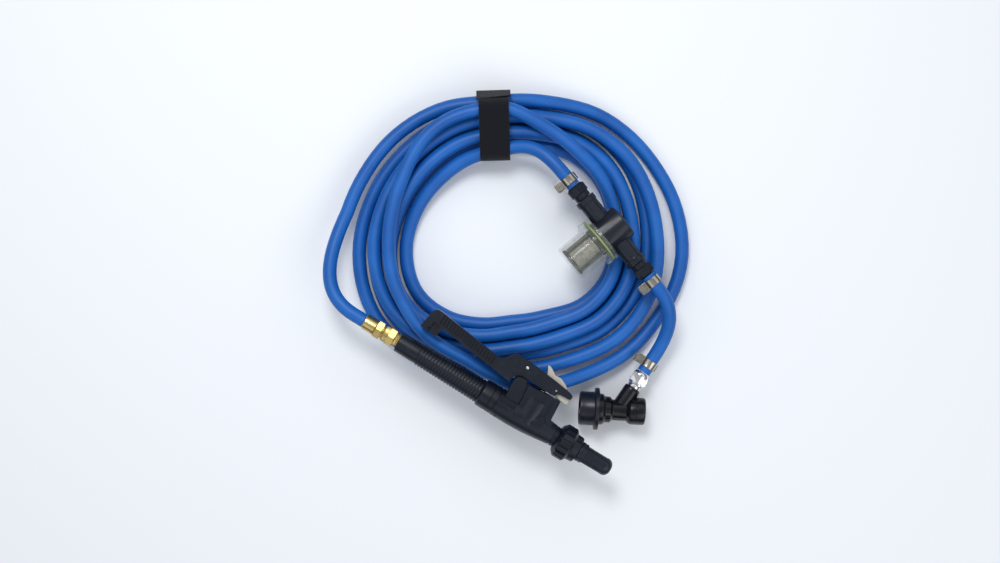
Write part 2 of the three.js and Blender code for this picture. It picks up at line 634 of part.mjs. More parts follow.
piece(disconnect, 'poppet', turned([
  [poppetHead - 1.6, 0], [poppetHead - 1.6, 2.4], [poppetHead, poppetBore - 0.6],
  [poppetHead + 2.6, poppetBore - 0.6], [poppetHead + 2.6, 1.8], [42, 1.8], [42, 0]], 20), steel);
piece(disconnect, 'poppet_spring', spring(poppetHead + 2.6 + clearance, capEnd - 7.4, 4, 0.5, 6), steel);
piece(disconnect, 'end_cap', turned([
  [capStart, capThreadRadius + clearance], [capStart, endCapRadius - 1],
  [capStart + 1, endCapRadius], [capEnd - 3, endCapRadius], [capEnd, endCapRadius - 3], [capEnd, 0],
  [capEnd - 3.4, 0], [capEnd - 3.4, 2], [capEnd - 7, 2], [capEnd - 7, poppetBore - clearance],
  [capEnd - 3.7, poppetBore - clearance], [capEnd - 3.7, capThreadRadius + clearance],
  [capStart, capThreadRadius + clearance]], 22), blackPlastic);

const arm2 = new THREE.Group();
arm2.position.x = armBase;
arm2.rotation.z = rad(sideArmTurn);
disconnect.add(arm2);
const tailFlange = stubReach + clearance;
const flangeEnd = tailFlange + 2.4;
const tailRadius = 3.5;
piece(arm2, 'swivel_nut', cut(
  join(hexRod(nutReach + 1, nutEndX - 2.4, 15.2),
    turned([[nutReach + clearance, 0], [nutReach + clearance, 7.4], [nutReach + 2, 7.4], [nutReach + 2, 0]], 24),
    turned([[nutEndX - 3, 0], [nutEndX - 3, 7.8], [nutEndX, 6.6], [nutEndX, 0]], 24)),
  rod(nutReach - 1, flangeEnd + clearance, stubRadius + clearance, 20),
  rod(flangeEnd, nutEndX + 1, tailRadius + clearance, 20)), chrome);
piece(arm2, 'barbed_tail', turned([
  [tailFlange, 2.4], [tailFlange, stubRadius], [flangeEnd, stubRadius], [flangeEnd, tailRadius],
  [nutEndX + 0.4, tailRadius],
  [nutEndX + 0.4, 2.4], [tailFlange, 2.4]], 20), chrome);
const tailEnd = nutEndX + 0.4 + clearance;
clamp(arm2, 'tail', tailEnd + tailClampSetback, -1);

// The hose. The outermost regular loop is a closed curve round the coil's centre, given by its
// reach every sixteenth of a turn from the strap. Each turn lies some slots inside it.
const coilCentre = new THREE.Vector2(-56.6, 132.5);
const strapAngle = rad(126.9);
const loopReach = [119.7, 122.4, 125.1, 130.2, 136.4, 139.4, 133.2, 123, 116.2, 119.2, 130.6,
  135.7, 134.4, 134.9, 130.8, 122.1];
const liftAtStrap = strapThickness + 1;
const level = [hoseRadius, hoseRadius + layerRise, hoseRadius + 2 * layerRise];
const nested = hoseRadius + 11.6;

// A curve through the stations that stays between neighbouring values
function smooth(stations, t) {
  let i = 1;
  while (i < stations.length - 1 && stations[i][0] < t) i++;
  const [p0, p1, p2, p3] = [stations[Math.max(i - 2, 0)], stations[i - 1], stations[i],
    stations[Math.min(i + 1, stations.length - 1)]];
  const span = p2[0] - p1[0];
  const u = Math.min(Math.max((t - p1[0]) / span, 0), 1);
  return p1.slice(1).map((value, k) => {
    const a = p0[k + 1];
    const d = p3[k + 1];
    const b = p2[k + 1];
    const before = (value - a) * (b - value) > 0 ? (b - a) / (p2[0] - p0[0]) * span : 0;
    const after = (b - value) * (d - b) > 0 ? (d - value) / (p3[0] - p1[0]) * span : 0;
    return value * (2 * u ** 3 - 3 * u ** 2 + 1) + b * (3 * u ** 2 - 2 * u ** 3)
      + before * (u ** 3 - 2 * u ** 2 + u) + after * (u ** 3 - u ** 2);
  });
}

// [turn, slot, height] where the hose leaves the steady spiral
const hoseStations = [
  [-0.12, 2.4, 35], [0, 2.6, 25], [0.12, 2.75, 14.5], [0.25, 2.75, level[0]],
  [1, 2, level[0]], [2, 1, level[0]], [3, 0, level[0]], [3.5, -0.5, level[0]],
  [3.58, -0.6, 12], [3.7, -0.35, level[1]], [3.8, -0.05, level[1]], [4, 0.5, level[1]],
  [5, 1.5, level[1]], [5.5, 2, level[1]], [5.75, 2.25, level[1]], [5.83, 2.2, 29],
  [5.88, 1.9, level[2]], [5.94, 0.9, level[2]], [6, 0, level[2]], [6.08, 0.15, level[2]], [6.16, 1.15, level[2]],
  [6.24, 1.75, level[2]], [6.31, 1.8, level[2]], [6.37, 1.2, level[2]], [6.43, 0.4, level[2]],
  [6.465, -0.5, 30], [6.49, -1.3, 26.4], [6.53, -1.65, 23], [6.58, -1.75, 13],
  [6.65, -1.65, level[0]], [6.72, -1.95, level[0]], [6.76, -1.75, level[0]],
  [6.82, -1.15, level[0]], [6.9, -0.85, 9.6], [6.95, -0.65, 15.6], [7, -0.5, nested],
  [7.06, -0.85, nested], [7.12, -1.12, nested], [7.17, -1.16, 19], [7.23, -1.28, 22.5],
  [7.29, -1.34, 28]];

function loopPoint(turn) {
  const [slot, height] = smooth(hoseStations, turn);
  const step = (turn % 1) * loopReach.length;
  const around = [];
  for (let i = -2; i <= 3; i++) {
    const index = (Math.floor(step) + i + loopReach.length) % loopReach.length;
    around.push([Math.floor(step) + i, loopReach[index]]);
  }
  const [reach] = smooth(around, step);
  const angle = strapAngle + 2 * Math.PI * turn;
  const nearStrap = Math.min(turn % 1, 1 - turn % 1);
  const lift = liftAtStrap * Math.max(0, 1 - (nearStrap / 0.09) ** 2) ** 2;
  const r = reach - slot * slotPitch;
  return new THREE.Vector3(coilCentre.x + r * Math.cos(angle), coilCentre.y + r * Math.sin(angle),
    height + lift);
}

const coilEnd = 7.23;
const coilLine = [];
for (let i = 0; i <= Math.floor(coilEnd * loopSteps); i++) coilLine.push(loopPoint(i / loopSteps));

// The least gap between two turns of the coil, measured along its centre line
function leastGap(line, close) {
  const parts = 6;
  const dense = [];
  for (let i = 0; i < line.length - 1; i++) {
    for (let k = 0; k < parts; k++) dense.push([i, line[i].clone().lerp(line[i + 1], k / parts)]);
  }
  let least = Infinity;
  for (let a = 0; a < dense.length; a++) {
    for (let b = a + 1; b < dense.length; b++) {
      if (dense[b][0] - dense[a][0] > close) least = Math.min(least, dense[a][1].distanceTo(dense[b][1]));
    }
  }
  return least - hoseDiameter;
}
console.log(`least gap between the coil's turns: ${leastGap(coilLine, 4).toFixed(2)} mm`);
piece(bench, 'hose_coil', sweep(coilLine, hoseRadius, loopSides, 0.5), blueHose);

// Free stretches: from the coil to the strainer, from the coil to the gun, and the short hose
bench.updateMatrixWorld(true);
const onAxis = (group, x) => bench.worldToLocal(group.localToWorld(new THREE.Vector3(x, 0, 0)));
const straight = hoseDiameter * 1.1;
const bendPull = 0.37;          // how far the ends' directions reach into a bend, of its width

// The point that lies some way past the end of a line
function past(line, distance) {
  const [end, before] = line;
  return end.clone().add(end.clone().sub(before).setLength(distance));
}

// A stretch of hose that bends smoothly between two straight ends. Each end is the hose's own
// end and the point where its straight part stops.
function stretch(name, [start, leave], [end, arrive], steps) {
  const pull = leave.distanceTo(arrive) * bendPull;
  const curve = new THREE.CubicBezierCurve3(leave, past([leave, start], pull),
    past([arrive, end], pull), arrive);
  piece(bench, name, sweep([start, ...curve.getSpacedPoints(steps), end], hoseRadius, hoseSides), blueHose);
}

const at = (x, y, z) => new THREE.Vector3(x, y, z);
const coilStart = coilLine.slice(0, 2);
const coilFinish = coilLine.slice(-2).reverse();
const underStrap = 10;          // the hose stays straight this far from the strap's middle
stretch('hose_tail', [past(coilStart, clearance), past(coilStart, underStrap)],
  [onAxis(strainer, -hoseEndX), onAxis(strainer, -hoseEndX - straight)], 11);
stretch('hose_lead', [past(coilFinish, clearance), past(coilFinish, 2 * clearance)],
  [at(hosePlug, 0, gunHeight), at(hosePlug - straight, 0, gunHeight)], 13);
stretch('hose_short', [onAxis(strainer, hoseEndX), onAxis(strainer, hoseEndX + straight)],
  [onAxis(arm2, tailEnd), onAxis(arm2, tailEnd + straight)], 14);

// Strap: a band drawn tight round every pass of the hose
function hullOf(points) {
  const sorted = points.toSorted((a, b) => a[0] - b[0] || a[1] - b[1]);
  const half = (list) => {
    const chain = [];
    for (const p of list) {
      while (chain.length > 1) {
        const [a, b] = chain.slice(-2);
        if ((b[0] - a[0]) * (p[1] - a[1]) - (b[1] - a[1]) * (p[0] - a[0]) > 0) break;
        chain.pop();
      }
      chain.push(p);
    }
    return chain.slice(0, -1);
  };
  return [...half(sorted), ...half(sorted.toReversed())];
}

const strapSides = 16;
const strapOut = at(Math.cos(strapAngle), Math.sin(strapAngle), 0);
const middle = at(coilCentre.x, coilCentre.y, 0);
function strapOutline(offset) {
  const points = [];
  for (let pass = 0; pass <= loopCount; pass++) {
    const i = pass * loopSteps;
    const before = coilLine[i - 1] ?? past(coilStart, strapWidth);
    const near = [coilLine[i]];
    for (const next of [coilLine[i + 1], before]) {
      near.push(past([coilLine[i], next], -strapWidth * 0.6));
    }
    for (const centre of near) {
      for (let k = 0; k < strapSides; k++) {
        const angle = 2 * Math.PI * (k + 0.5) / strapSides;
        points.push([centre.clone().sub(middle).dot(strapOut) + offset * Math.cos(angle),
          centre.z + offset * Math.sin(angle)]);
      }
    }
  }
  return hullOf(points);
}
const strapGeometry = cut(
  plate(strapOutline(hoseRadius + clearance + strapThickness), -strapWidth / 2, strapWidth / 2),
  plate(strapOutline(hoseRadius + clearance), -strapWidth, strapWidth));
strapGeometry.rotateX(Math.PI / 2).rotateZ(strapAngle).translate(coilCentre.x, coilCentre.y, 0);
piece(bench, 'strap', strapGeometry, strapFabric);

export default part;
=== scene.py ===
import bpy
import bmesh
from math import pi, sin, cos, sqrt, atan2, radians
from mathutils import Matrix, Vector
from mathutils.geometry import convex_hull_2d


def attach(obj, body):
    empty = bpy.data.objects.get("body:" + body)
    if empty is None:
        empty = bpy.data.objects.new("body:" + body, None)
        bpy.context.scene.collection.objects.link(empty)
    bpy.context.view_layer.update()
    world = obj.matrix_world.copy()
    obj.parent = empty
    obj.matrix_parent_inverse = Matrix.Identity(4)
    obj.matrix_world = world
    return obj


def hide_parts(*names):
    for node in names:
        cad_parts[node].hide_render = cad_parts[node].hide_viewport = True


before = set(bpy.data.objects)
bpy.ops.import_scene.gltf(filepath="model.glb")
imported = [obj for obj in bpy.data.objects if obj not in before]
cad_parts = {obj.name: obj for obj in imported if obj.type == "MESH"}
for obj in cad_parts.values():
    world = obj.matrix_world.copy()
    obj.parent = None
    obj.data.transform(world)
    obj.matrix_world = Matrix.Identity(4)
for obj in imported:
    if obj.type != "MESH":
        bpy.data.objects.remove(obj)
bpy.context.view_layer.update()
scene = bpy.context.scene
print("frame loaded:", len(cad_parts), "nodes")

# Where the assemblies stand, in millimetres. Each is modelled lying along its own X axis.
layout = {
    "bench": (-5.3, -98.9, 0),
    "gunHeight": 46.7,
    "strainer": (20.2, 186, 43.6), "strainerTurn": -19.3,
    "disconnect": (81.5, 32.4, 19.5), "disconnectTurn": 27.7,
    "sideArm": 35.9, "sideArmTurn": 59.5,
    "gap": 0.3,
}
toMetres = Matrix.Scale(0.001, 4)


def turnedPlace(where, degrees):
    return Matrix.Translation(where) @ Matrix.Rotation(radians(degrees), 4, "Z")


benchPlace = Matrix.Translation(layout["bench"])
gunPlace = benchPlace @ Matrix.Translation((0, 0, layout["gunHeight"]))
strainerPlace = benchPlace @ turnedPlace(layout["strainer"], layout["strainerTurn"])
disconnectPlace = benchPlace @ turnedPlace(layout["disconnect"], layout["disconnectTurn"])
sideArmPlace = disconnectPlace @ turnedPlace((layout["sideArm"], 0, 0), layout["sideArmTurn"])


# Camera straight above the coil, turned with the picture
cameraLook = {"over": (-47.4, -4.5), "turn": 31.2, "width": 0.92, "lens": 50, "level": 0.03}


def addCamera(look):
    data = bpy.data.cameras.new("camera")
    data.lens = look["lens"]
    camera = bpy.data.objects.new("camera", data)
    scene.collection.objects.link(camera)
    height = look["width"] * look["lens"] / data.sensor_width + look["level"]
    camera.matrix_world = (Matrix.Translation((look["over"][0] / 1000, look["over"][1] / 1000, height))
                           @ Matrix.Rotation(radians(look["turn"]), 4, "Z"))
    scene.camera = camera


addCamera(cameraLook)


# The hose, gun to coil to strainer, and the short hose to the disconnect
hose = {
    "diameter": 12.7, "length": 5.45, "shortLength": 0.106,
    "centre": (-56.6, 132.5), "strapAngle": radians(126.9),
    "reach": [119.7, 122.4, 125.1, 130.2, 136.4, 139.4, 133.2, 123, 116.2, 119.2, 130.6,
              135.7, 134.4, 134.9, 130.8, 122.1],
    "pitch": 14.8, "rise": 13.4, "strapLift": 3,
    "steps": 24, "fine": 4,           # points that set the ends, and points drawn between them
    "lastTurn": 173 / 24, "pull": 0.41,
}
hoseRadius = hose["diameter"] / 2
level = [hoseRadius, hoseRadius + hose["rise"], hoseRadius + 2 * hose["rise"]]
nested = hoseRadius + 11.6

# [turn, slots inside the outermost loop, height]
hoseStations = [
    [-0.12, 2.4, 35], [0, 2.6, 25], [0.12, 2.75, 14.5], [0.25, 2.75, level[0]],
    [1, 2, level[0]], [2, 1, level[0]], [3, 0, level[0]], [3.5, -0.5, level[0]],
    [3.58, -0.6, 12], [3.7, -0.35, level[1]], [3.8, -0.05, level[1]], [4, 0.5, level[1]],
    [5, 1.5, level[1]], [5.5, 2, level[1]], [5.75, 2.25, level[1]], [5.83, 2.2, 29],
    [5.88, 1.9, level[2]], [5.94, 0.9, level[2]], [6, 0, level[2]], [6.08, 0.15, level[2]],
    [6.16, 1.15, level[2]], [6.24, 1.75, level[2]], [6.31, 1.8, level[2]], [6.37, 1.2, level[2]],
    [6.43, 0.4, level[2]], [6.465, -0.5, 30], [6.49, -1.3, 26.4], [6.53, -1.65, 23],
    [6.58, -1.75, 13], [6.65, -1.65, level[0]], [6.72, -1.95, level[0]], [6.76, -1.75, level[0]],
    [6.82, -1.15, level[0]], [6.9, -0.85, 9.6], [6.95, -0.65, 15.6], [7, -0.5, nested],
    [7.06, -0.85, nested], [7.12, -1.12, nested], [7.17, -1.16, 19], [7.23, -1.28, 22.5],
    [7.29, -1.34, 28],
]


def smoothValue(stations, t):
    i = 1
    while i < len(stations) - 1 and stations[i][0] < t:
        i += 1
    p0, p1, p2 = stations[max(i - 2, 0)], stations[i - 1], stations[i]
    p3 = stations[min(i + 1, len(stations) - 1)]
    span = p2[0] - p1[0]
    u = min(max((t - p1[0]) / span, 0), 1)
    found = []
    for a, b, c, d in zip(p0[1:], p1[1:], p2[1:], p3[1:]):
        before = (c - a) / (p2[0] - p0[0]) * span if (b - a) * (c - b) > 0 else 0
        after = (d - b) / (p3[0] - p1[0]) * span if (c - b) * (d - c) > 0 else 0
        found.append(b * (2 * u**3 - 3 * u**2 + 1) + c * (3 * u**2 - 2 * u**3)
                     + before * (u**3 - 2 * u**2 + u) + after * (u**3 - u**2))
    return found


def loopPoint(turn):
    slot, height = smoothValue(hoseStations, turn)
    count = len(hose["reach"])
    step = (turn % 1) * count
    first = int(step)
    around = [[first + i, hose["reach"][(first + i) % count]] for i in range(-2, 4)]
    reach = smoothValue(around, step)[0] - slot * hose["pitch"]
    angle = hose["strapAngle"] + 2 * pi * turn
    nearStrap = min(turn % 1, 1 - turn % 1)
    lift = hose["strapLift"] * max(0, 1 - (nearStrap / 0.09) ** 2) ** 2
    return Vector((hose["centre"][0] + reach * cos(angle), hose["centre"][1] + reach * sin(angle),
                   height + lift))


def pastEnd(end, before, distance):
    return end + (end - before).normalized() * distance


def freeStretch(start, leave, arrive, end, count=36):
    # Straight at both ends, with one smooth bend between them
    pull = (arrive - leave).length * hose["pull"]
    a, b = pastEnd(leave, start, pull), pastEnd(arrive, end, pull)
    bend = [leave * (1 - u)**3 + a * 3 * u * (1 - u)**2 + b * 3 * u * u * (1 - u) + arrive * u**3
            for u in (i / count for i in range(count + 1))]
    return [start] + bend + [end]


def onBench(place, x):
    return benchPlace.inverted() @ place @ Vector((x, 0, 0))


# Ends of the hose stretches, along the axis of what they run into
hoseEnds = {"gun": -125.8, "strainer": 52.9, "tail": 42.3, "straight": 13.97, "underStrap": 10}
step = 1 / hose["steps"]
coilStart = loopPoint(0)
coilFinish = loopPoint(hose["lastTurn"])
beforeFinish = loopPoint(hose["lastTurn"] - step)
fineSteps = round(hose["lastTurn"] * hose["steps"] * hose["fine"])
coilPoints = [loopPoint(hose["lastTurn"] * i / fineSteps) for i in range(fineSteps + 1)]
leadPoints = freeStretch(
    pastEnd(coilFinish, beforeFinish, layout["gap"]), pastEnd(coilFinish, beforeFinish, 2 * layout["gap"]),
    Vector((hoseEnds["gun"] - hoseEnds["straight"], 0, layout["gunHeight"])),
    Vector((hoseEnds["gun"], 0, layout["gunHeight"])))
tailPoints = freeStretch(
    pastEnd(coilStart, loopPoint(step), layout["gap"]),
    pastEnd(coilStart, loopPoint(step), hoseEnds["underStrap"]),
    onBench(strainerPlace, -hoseEnds["strainer"] - hoseEnds["straight"]),
    onBench(strainerPlace, -hoseEnds["strainer"]))
shortPoints = freeStretch(
    onBench(strainerPlace, hoseEnds["strainer"]),
    onBench(strainerPlace, hoseEnds["strainer"] + hoseEnds["straight"]),
    onBench(sideArmPlace, hoseEnds["tail"] + hoseEnds["straight"]), onBench(sideArmPlace, hoseEnds["tail"]))


def hoseCurve(name, points):
    data = bpy.data.curves.new(name, "CURVE")
    data.dimensions = "3D"
    spline = data.splines.new("POLY")
    spline.points.add(len(points) - 1)
    place = toMetres @ benchPlace
    for target, point in zip(spline.points, points):
        target.co = (*(place @ point), 1)
    data.bevel_depth = hoseRadius / 1000
    data.bevel_resolution = 6
    data.use_fill_caps = True
    spline.use_smooth = True
    obj = bpy.data.objects.new(name, data)
    scene.collection.objects.link(obj)
    return obj


mainPoints = leadPoints[::-1] + coilPoints[::-1][1:-1] + tailPoints
mainHose = hoseCurve("main_hose", mainPoints)
shortHose = hoseCurve("short_hose", shortPoints)
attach(mainHose, "bench_body")
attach(shortHose, "bench_body")
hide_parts("hose_coil", "hose_lead", "hose_tail")
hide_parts("hose_short")


def lineLength(points):
    return sum((b - a).length for a, b in zip(points, points[1:])) / 1000


print("hose lengths:", round(lineLength(mainPoints), 3), round(lineLength(shortPoints), 3))


# Node maths as plain expressions: a value wraps one socket
class Value:
    def __init__(self, finish, socket):
        self.finish = finish
        self.socket = socket

    def maths(self, operation, first, second):
        return self.finish.add("ShaderNodeMath", {"operation": operation}, {0: first, 1: second})

    def __add__(self, other):
        return self.maths("ADD", self, other)

    def __sub__(self, other):
        return self.maths("SUBTRACT", self, other)

    def __rsub__(self, other):
        return self.maths("SUBTRACT", other, self)

    def __mul__(self, other):
        return self.maths("MULTIPLY", self, other)

    def __pow__(self, other):
        return self.maths("POWER", self, other)

    def __gt__(self, other):
        return self.maths("GREATER_THAN", self, other)

    __radd__ = __add__
    __rmul__ = __mul__


class Finish:
    def __init__(self, name, **fixed):
        self.material = bpy.data.materials.new(name)
        self.material.use_nodes = True
        self.tree = self.material.node_tree
        self.shader = self.tree.nodes["Principled BSDF"]
        self.place = self.add("ShaderNodeTexCoord", {}, {}, "Object")
        for socket, value in fixed.items():
            self.shader.inputs[socket.replace("_", " ")].default_value = value

    def add(self, kind, settings, sockets, out=0):
        node = self.tree.nodes.new(kind)
        for key, value in settings.items():
            if key == "stops":
                for i, (position, colour) in enumerate(value):
                    stop = node.color_ramp.elements[i] if i < 2 else node.color_ramp.elements.new(position)
                    stop.position, stop.color = position, colour
            else:
                setattr(node, key, value)
        for key, value in sockets.items():
            if isinstance(value, Value):
                self.tree.links.new(value.socket, node.inputs[key])
            else:
                node.inputs[key].default_value = value
        return Value(self, node.outputs[out])

    def noise(self, scale, detail=2, stretch=None):
        vector = self.place
        if stretch:
            vector = self.add("ShaderNodeMapping", {}, {"Vector": self.place, "Scale": stretch})
        return self.add("ShaderNodeTexNoise", {}, {"Vector": vector, "Scale": scale, "Detail": detail})

    def mixed(self, amount, low, high):
        return self.add("ShaderNodeMix", {"data_type": "RGBA"}, {0: amount, 6: low, 7: high}, 2)

    def spread(self, value, low, high, to=(0, 1)):
        return self.add("ShaderNodeMapRange", {}, {"Value": value, "From Min": low, "From Max": high,
                                                   "To Min": to[0], "To Max": to[1]})

    def bump(self, height, distance, strength=1.0):
        return self.add("ShaderNodeBump", {}, {"Height": height, "Distance": distance,
                                               "Strength": strength})

    def feed(self, **sockets):
        for socket, value in sockets.items():
            self.tree.links.new(value.socket, self.shader.inputs[socket.replace("_", " ")])
        return self.material


def colour(r, g, b):
    # Screen colour of 0 to 255 as the linear value that the shader takes
    return tuple((c / 255 / 12.92) if c < 10.5 else ((c / 255 + 0.055) / 1.055) ** 2.4
                 for c in (r, g, b)) + (1,)


def mouldedPlastic(name, dark, pale, gloss=0.42):
    # A fine grain, a few paler rubbed places and small changes of sheen
    finish = Finish(name, Specular_IOR_Level=0.35)
    grain = finish.noise(2600, 2)
    patches = finish.noise(45, 3)
    rubbed = finish.spread(finish.noise(190, 4), 0.56, 0.74)
    return finish.feed(
        Base_Color=finish.mixed(patches * 0.55 + rubbed * 0.45, dark, pale),
        Roughness=gloss + patches * 0.12 + rubbed * 0.1,
        Normal=finish.bump(grain, 0.00003, 0.5))


def rubberHose(name, deep, bright):
    # Smooth extruded rubber: faint streaks along it, dull scuffs where loops rub
    finish = Finish(name, Specular_IOR_Level=0.38)
    clouds = finish.noise(28, 3)
    scuffs = finish.spread(finish.noise(420, 5), 0.6, 0.78)
    grain = finish.noise(1500, 3)
    return finish.feed(
        Base_Color=finish.mixed(finish.spread(clouds, 0.3, 0.7) * 0.8 + scuffs * 0.2, deep, bright),
        Roughness=0.4 + clouds * 0.12 + scuffs * 0.15,
        Normal=finish.bump(grain, 0.00004, 0.45))


def workedMetal(name, tint, shade, gloss, brushing=(1, 1, 1), marks=0.5, cut=0.00002):
    # Bright metal with drawn or turned marks along one direction, duller in places
    finish = Finish(name, Metallic=1.0)
    lines = finish.noise(900, 3, brushing)
    tarnish = finish.spread(finish.noise(120, 4), 0.45, 0.8)
    return finish.feed(
        Base_Color=finish.mixed(tarnish * 0.8 + lines * 0.2, tint, shade),
        Roughness=gloss + lines * 0.12 + tarnish * 0.12,
        Normal=finish.bump(lines, cut, marks))


def clearBowl(name, tint):
    # Clear moulding, a little hazed; open enough to show the screen behind two walls
    finish = Finish(name, IOR=1.49, Base_Color=tint, Specular_IOR_Level=0.8)
    haze = finish.noise(160, 4)
    ripples = finish.noise(70, 2)
    return finish.feed(Roughness=finish.spread(haze, 0.3, 0.8, (0.03, 0.16)),
                       Alpha=finish.spread(haze, 0.3, 0.8, (0.12, 0.2)),
                       Normal=finish.bump(ripples, 0.0002, 0.25))


def softRubber(name, low, high, gloss=0.6):
    finish = Finish(name)
    grain = finish.noise(1400, 4)
    return finish.feed(Base_Color=finish.mixed(grain, low, high), Roughness=gloss + grain * 0.2,
                       Normal=finish.bump(grain, 0.00005, 0.5))


def wovenWire(name, bright, shade):
    # Wires over and under each other, read from the screen's own UV map, open between them
    finish = Finish(name, Metallic=0.9)
    uv = finish.add("ShaderNodeTexCoord", {}, {}, "UV")
    parts = finish.add("ShaderNodeSeparateXYZ", {}, {"Vector": uv}, 0)
    node = parts.socket.node
    across, along = (Value(finish, node.outputs[k]) for k in ("X", "Y"))
    wires = [finish.add("ShaderNodeMath", {"operation": "PINGPONG"}, {0: part * count, 1: 0.5})
             for part, count in ((across, 150), (along, 44))]
    solid = finish.add("ShaderNodeMath", {"operation": "MAXIMUM"},
                       {0: wires[0] > 0.12, 1: wires[1] > 0.12})
    height = finish.add("ShaderNodeMath", {"operation": "MAXIMUM"}, {0: wires[0], 1: wires[1]})
    wear = finish.noise(220, 3)
    return finish.feed(Base_Color=finish.mixed(wear, bright, shade), Roughness=0.32 + wear * 0.2,
                       Alpha=solid, Normal=finish.bump(height, 0.0003, 0.8))


def loopFabric(name, dark, pale):
    # Hook-and-loop strap: a nap of fine loops over a weave, with lint
    finish = Finish(name, Specular_IOR_Level=0.2, Sheen_Weight=0.1, Sheen_Roughness=0.6)
    nap = finish.noise(1900, 6)
    tufts = finish.add("ShaderNodeTexVoronoi", {}, {"Vector": finish.place, "Scale": 900})
    lint = finish.spread(finish.noise(330, 5), 0.62, 0.78)
    return finish.feed(
        Base_Color=finish.mixed(nap * 0.7 + lint * 0.6, dark, pale), Roughness=0.85 + nap * 0.15,
        Normal=finish.bump(nap * 0.6 + tufts * 0.7, 0.0006, 0.9))


finishes = {
    "black": mouldedPlastic("black_plastic", colour(5, 11, 22), colour(18, 28, 46), 0.3),
    "satinBlack": mouldedPlastic("satin_black_plastic", colour(14, 19, 29), colour(30, 38, 52), 0.26),
    "hose": rubberHose("blue_rubber", colour(10, 84, 164), colour(22, 104, 190)),
    "brass": workedMetal("turned_brass", colour(212, 190, 128), colour(158, 132, 70), 0.22, (12, 1, 1)),
    "gloss": mouldedPlastic("glossy_black_plastic", colour(6, 8, 13), colour(16, 20, 28), 0.16),
    "steel": workedMetal("drawn_stainless", colour(186, 181, 172), colour(128, 121, 112), 0.13, (1, 1, 9)),
    "chrome": workedMetal("chrome_plate", colour(226, 226, 228), colour(190, 190, 194), 0.07, (1, 1, 1),
                          0.15, 0.000006),
    "bowl": clearBowl("clear_plastic", colour(168, 175, 164)),
    "gasket": softRubber("green_rubber", colour(120, 138, 84), colour(160, 172, 118)),
    "clip": mouldedPlastic("grey_plastic", colour(168, 163, 152), colour(198, 192, 180), 0.4),
    "seal": softRubber("black_rubber", colour(18, 18, 20), colour(34, 34, 37)),
    "screen": wovenWire("wire_cloth", colour(186, 180, 168), colour(96, 90, 80)),
    "strap": loopFabric("loop_fabric", colour(4, 6, 13), colour(15, 19, 31)),
}
mainHose.data.materials.append(finishes["hose"])
shortHose.data.materials.append(finishes["hose"])
print("finishes made:", len(finishes))


# Floor and soft studio light
studio = {"floor": 0.62, "floorColour": colour(236, 239, 243), "key": 7.5, "fill": 2.5,
          "sky": ((0, 0.08), (0.35, 0.2), (0.5, 1), (0.78, 1), (0.93, 0.45))}


def lamp(name, where, size, power):
    data = bpy.data.lights.new(name, "AREA")
    data.shape, data.size, data.energy = "DISK", size, power
    obj = bpy.data.objects.new(name, data)
    obj.location = where
    obj.rotation_euler = (Vector((-0.05, 0, 0)) - Vector(where)).to_track_quat("-Z", "Y").to_euler()
    scene.collection.objects.link(obj)


def makeStudio(look):
    bm = bmesh.new()
    bmesh.ops.create_grid(bm, x_segments=1, y_segments=1, size=look["floor"])
    mesh = bpy.data.meshes.new("floor")
    bm.to_mesh(mesh)
    bm.free()
    floor = bpy.data.objects.new("floor", mesh)
    scene.collection.objects.link(floor)
    floor.location.z = -0.0005
    paint = Finish("floor_paint", Base_Color=look["floorColour"], Roughness=0.75)
    mesh.materials.append(paint.material)
    world = bpy.data.worlds.new("studio")
    world.use_nodes = True
    tree = world.node_tree
    sky = tree.nodes["Background"]
    sky.inputs["Color"].default_value = (0.93, 0.96, 1, 1)
    place, parts, ramp = (tree.nodes.new(kind) for kind in (
        "ShaderNodeTexCoord", "ShaderNodeSeparateXYZ", "ShaderNodeValToRGB"))
    for i, (height, light) in enumerate(look["sky"]):
        stop = ramp.color_ramp.elements[i] if i < 2 else ramp.color_ramp.elements.new(height)
        stop.position, stop.color = height, (light, light, light, 1)
    tree.links.new(place.outputs["Generated"], parts.inputs["Vector"])
    tree.links.new(parts.outputs["Z"], ramp.inputs["Fac"])
    tree.links.new(ramp.outputs["Color"], sky.inputs["Strength"])
    scene.world = world
    lamp("key", (-0.48, 0.42, 1.2), 0.45, look["key"])
    lamp("fill", (0.9, -0.3, 1.0), 0.9, look["fill"])


makeStudio(studio)
scene.view_settings.view_transform = "Standard"
print("studio set")


# Modelling helpers. Shapes are in millimetres until a piece is finished.
def shapeOf(bm):
    mesh = bpy.data.meshes.new("shape")
    bm.to_mesh(mesh)
    bm.free()
    obj = bpy.data.objects.new("shape", mesh)
    scene.collection.objects.link(obj)
    return obj


def turned(profile, steps=72, ring=False):
    # A profile of (x, radius) spun about X; a ring's profile closes on itself
    bm = bmesh.new()
    verts = [bm.verts.new((x, r, 0)) for x, r in profile]
    pairs = list(zip(verts, verts[1:] + verts[:1])) if ring else list(zip(verts, verts[1:]))
    edges = [bm.edges.new(pair) for pair in pairs]
    bmesh.ops.spin(bm, geom=verts + edges, cent=(0, 0, 0), axis=(1, 0, 0), angle=2 * pi,
                   steps=steps, use_merge=True)
    bmesh.ops.remove_doubles(bm, verts=bm.verts, dist=1e-4)
    bmesh.ops.recalc_face_normals(bm, faces=bm.faces)
    return shapeOf(bm)


def rod(x0, x1, radius, steps=48):
    return turned([(x0, 0), (x0, radius), (x1, radius), (x1, 0)], steps)


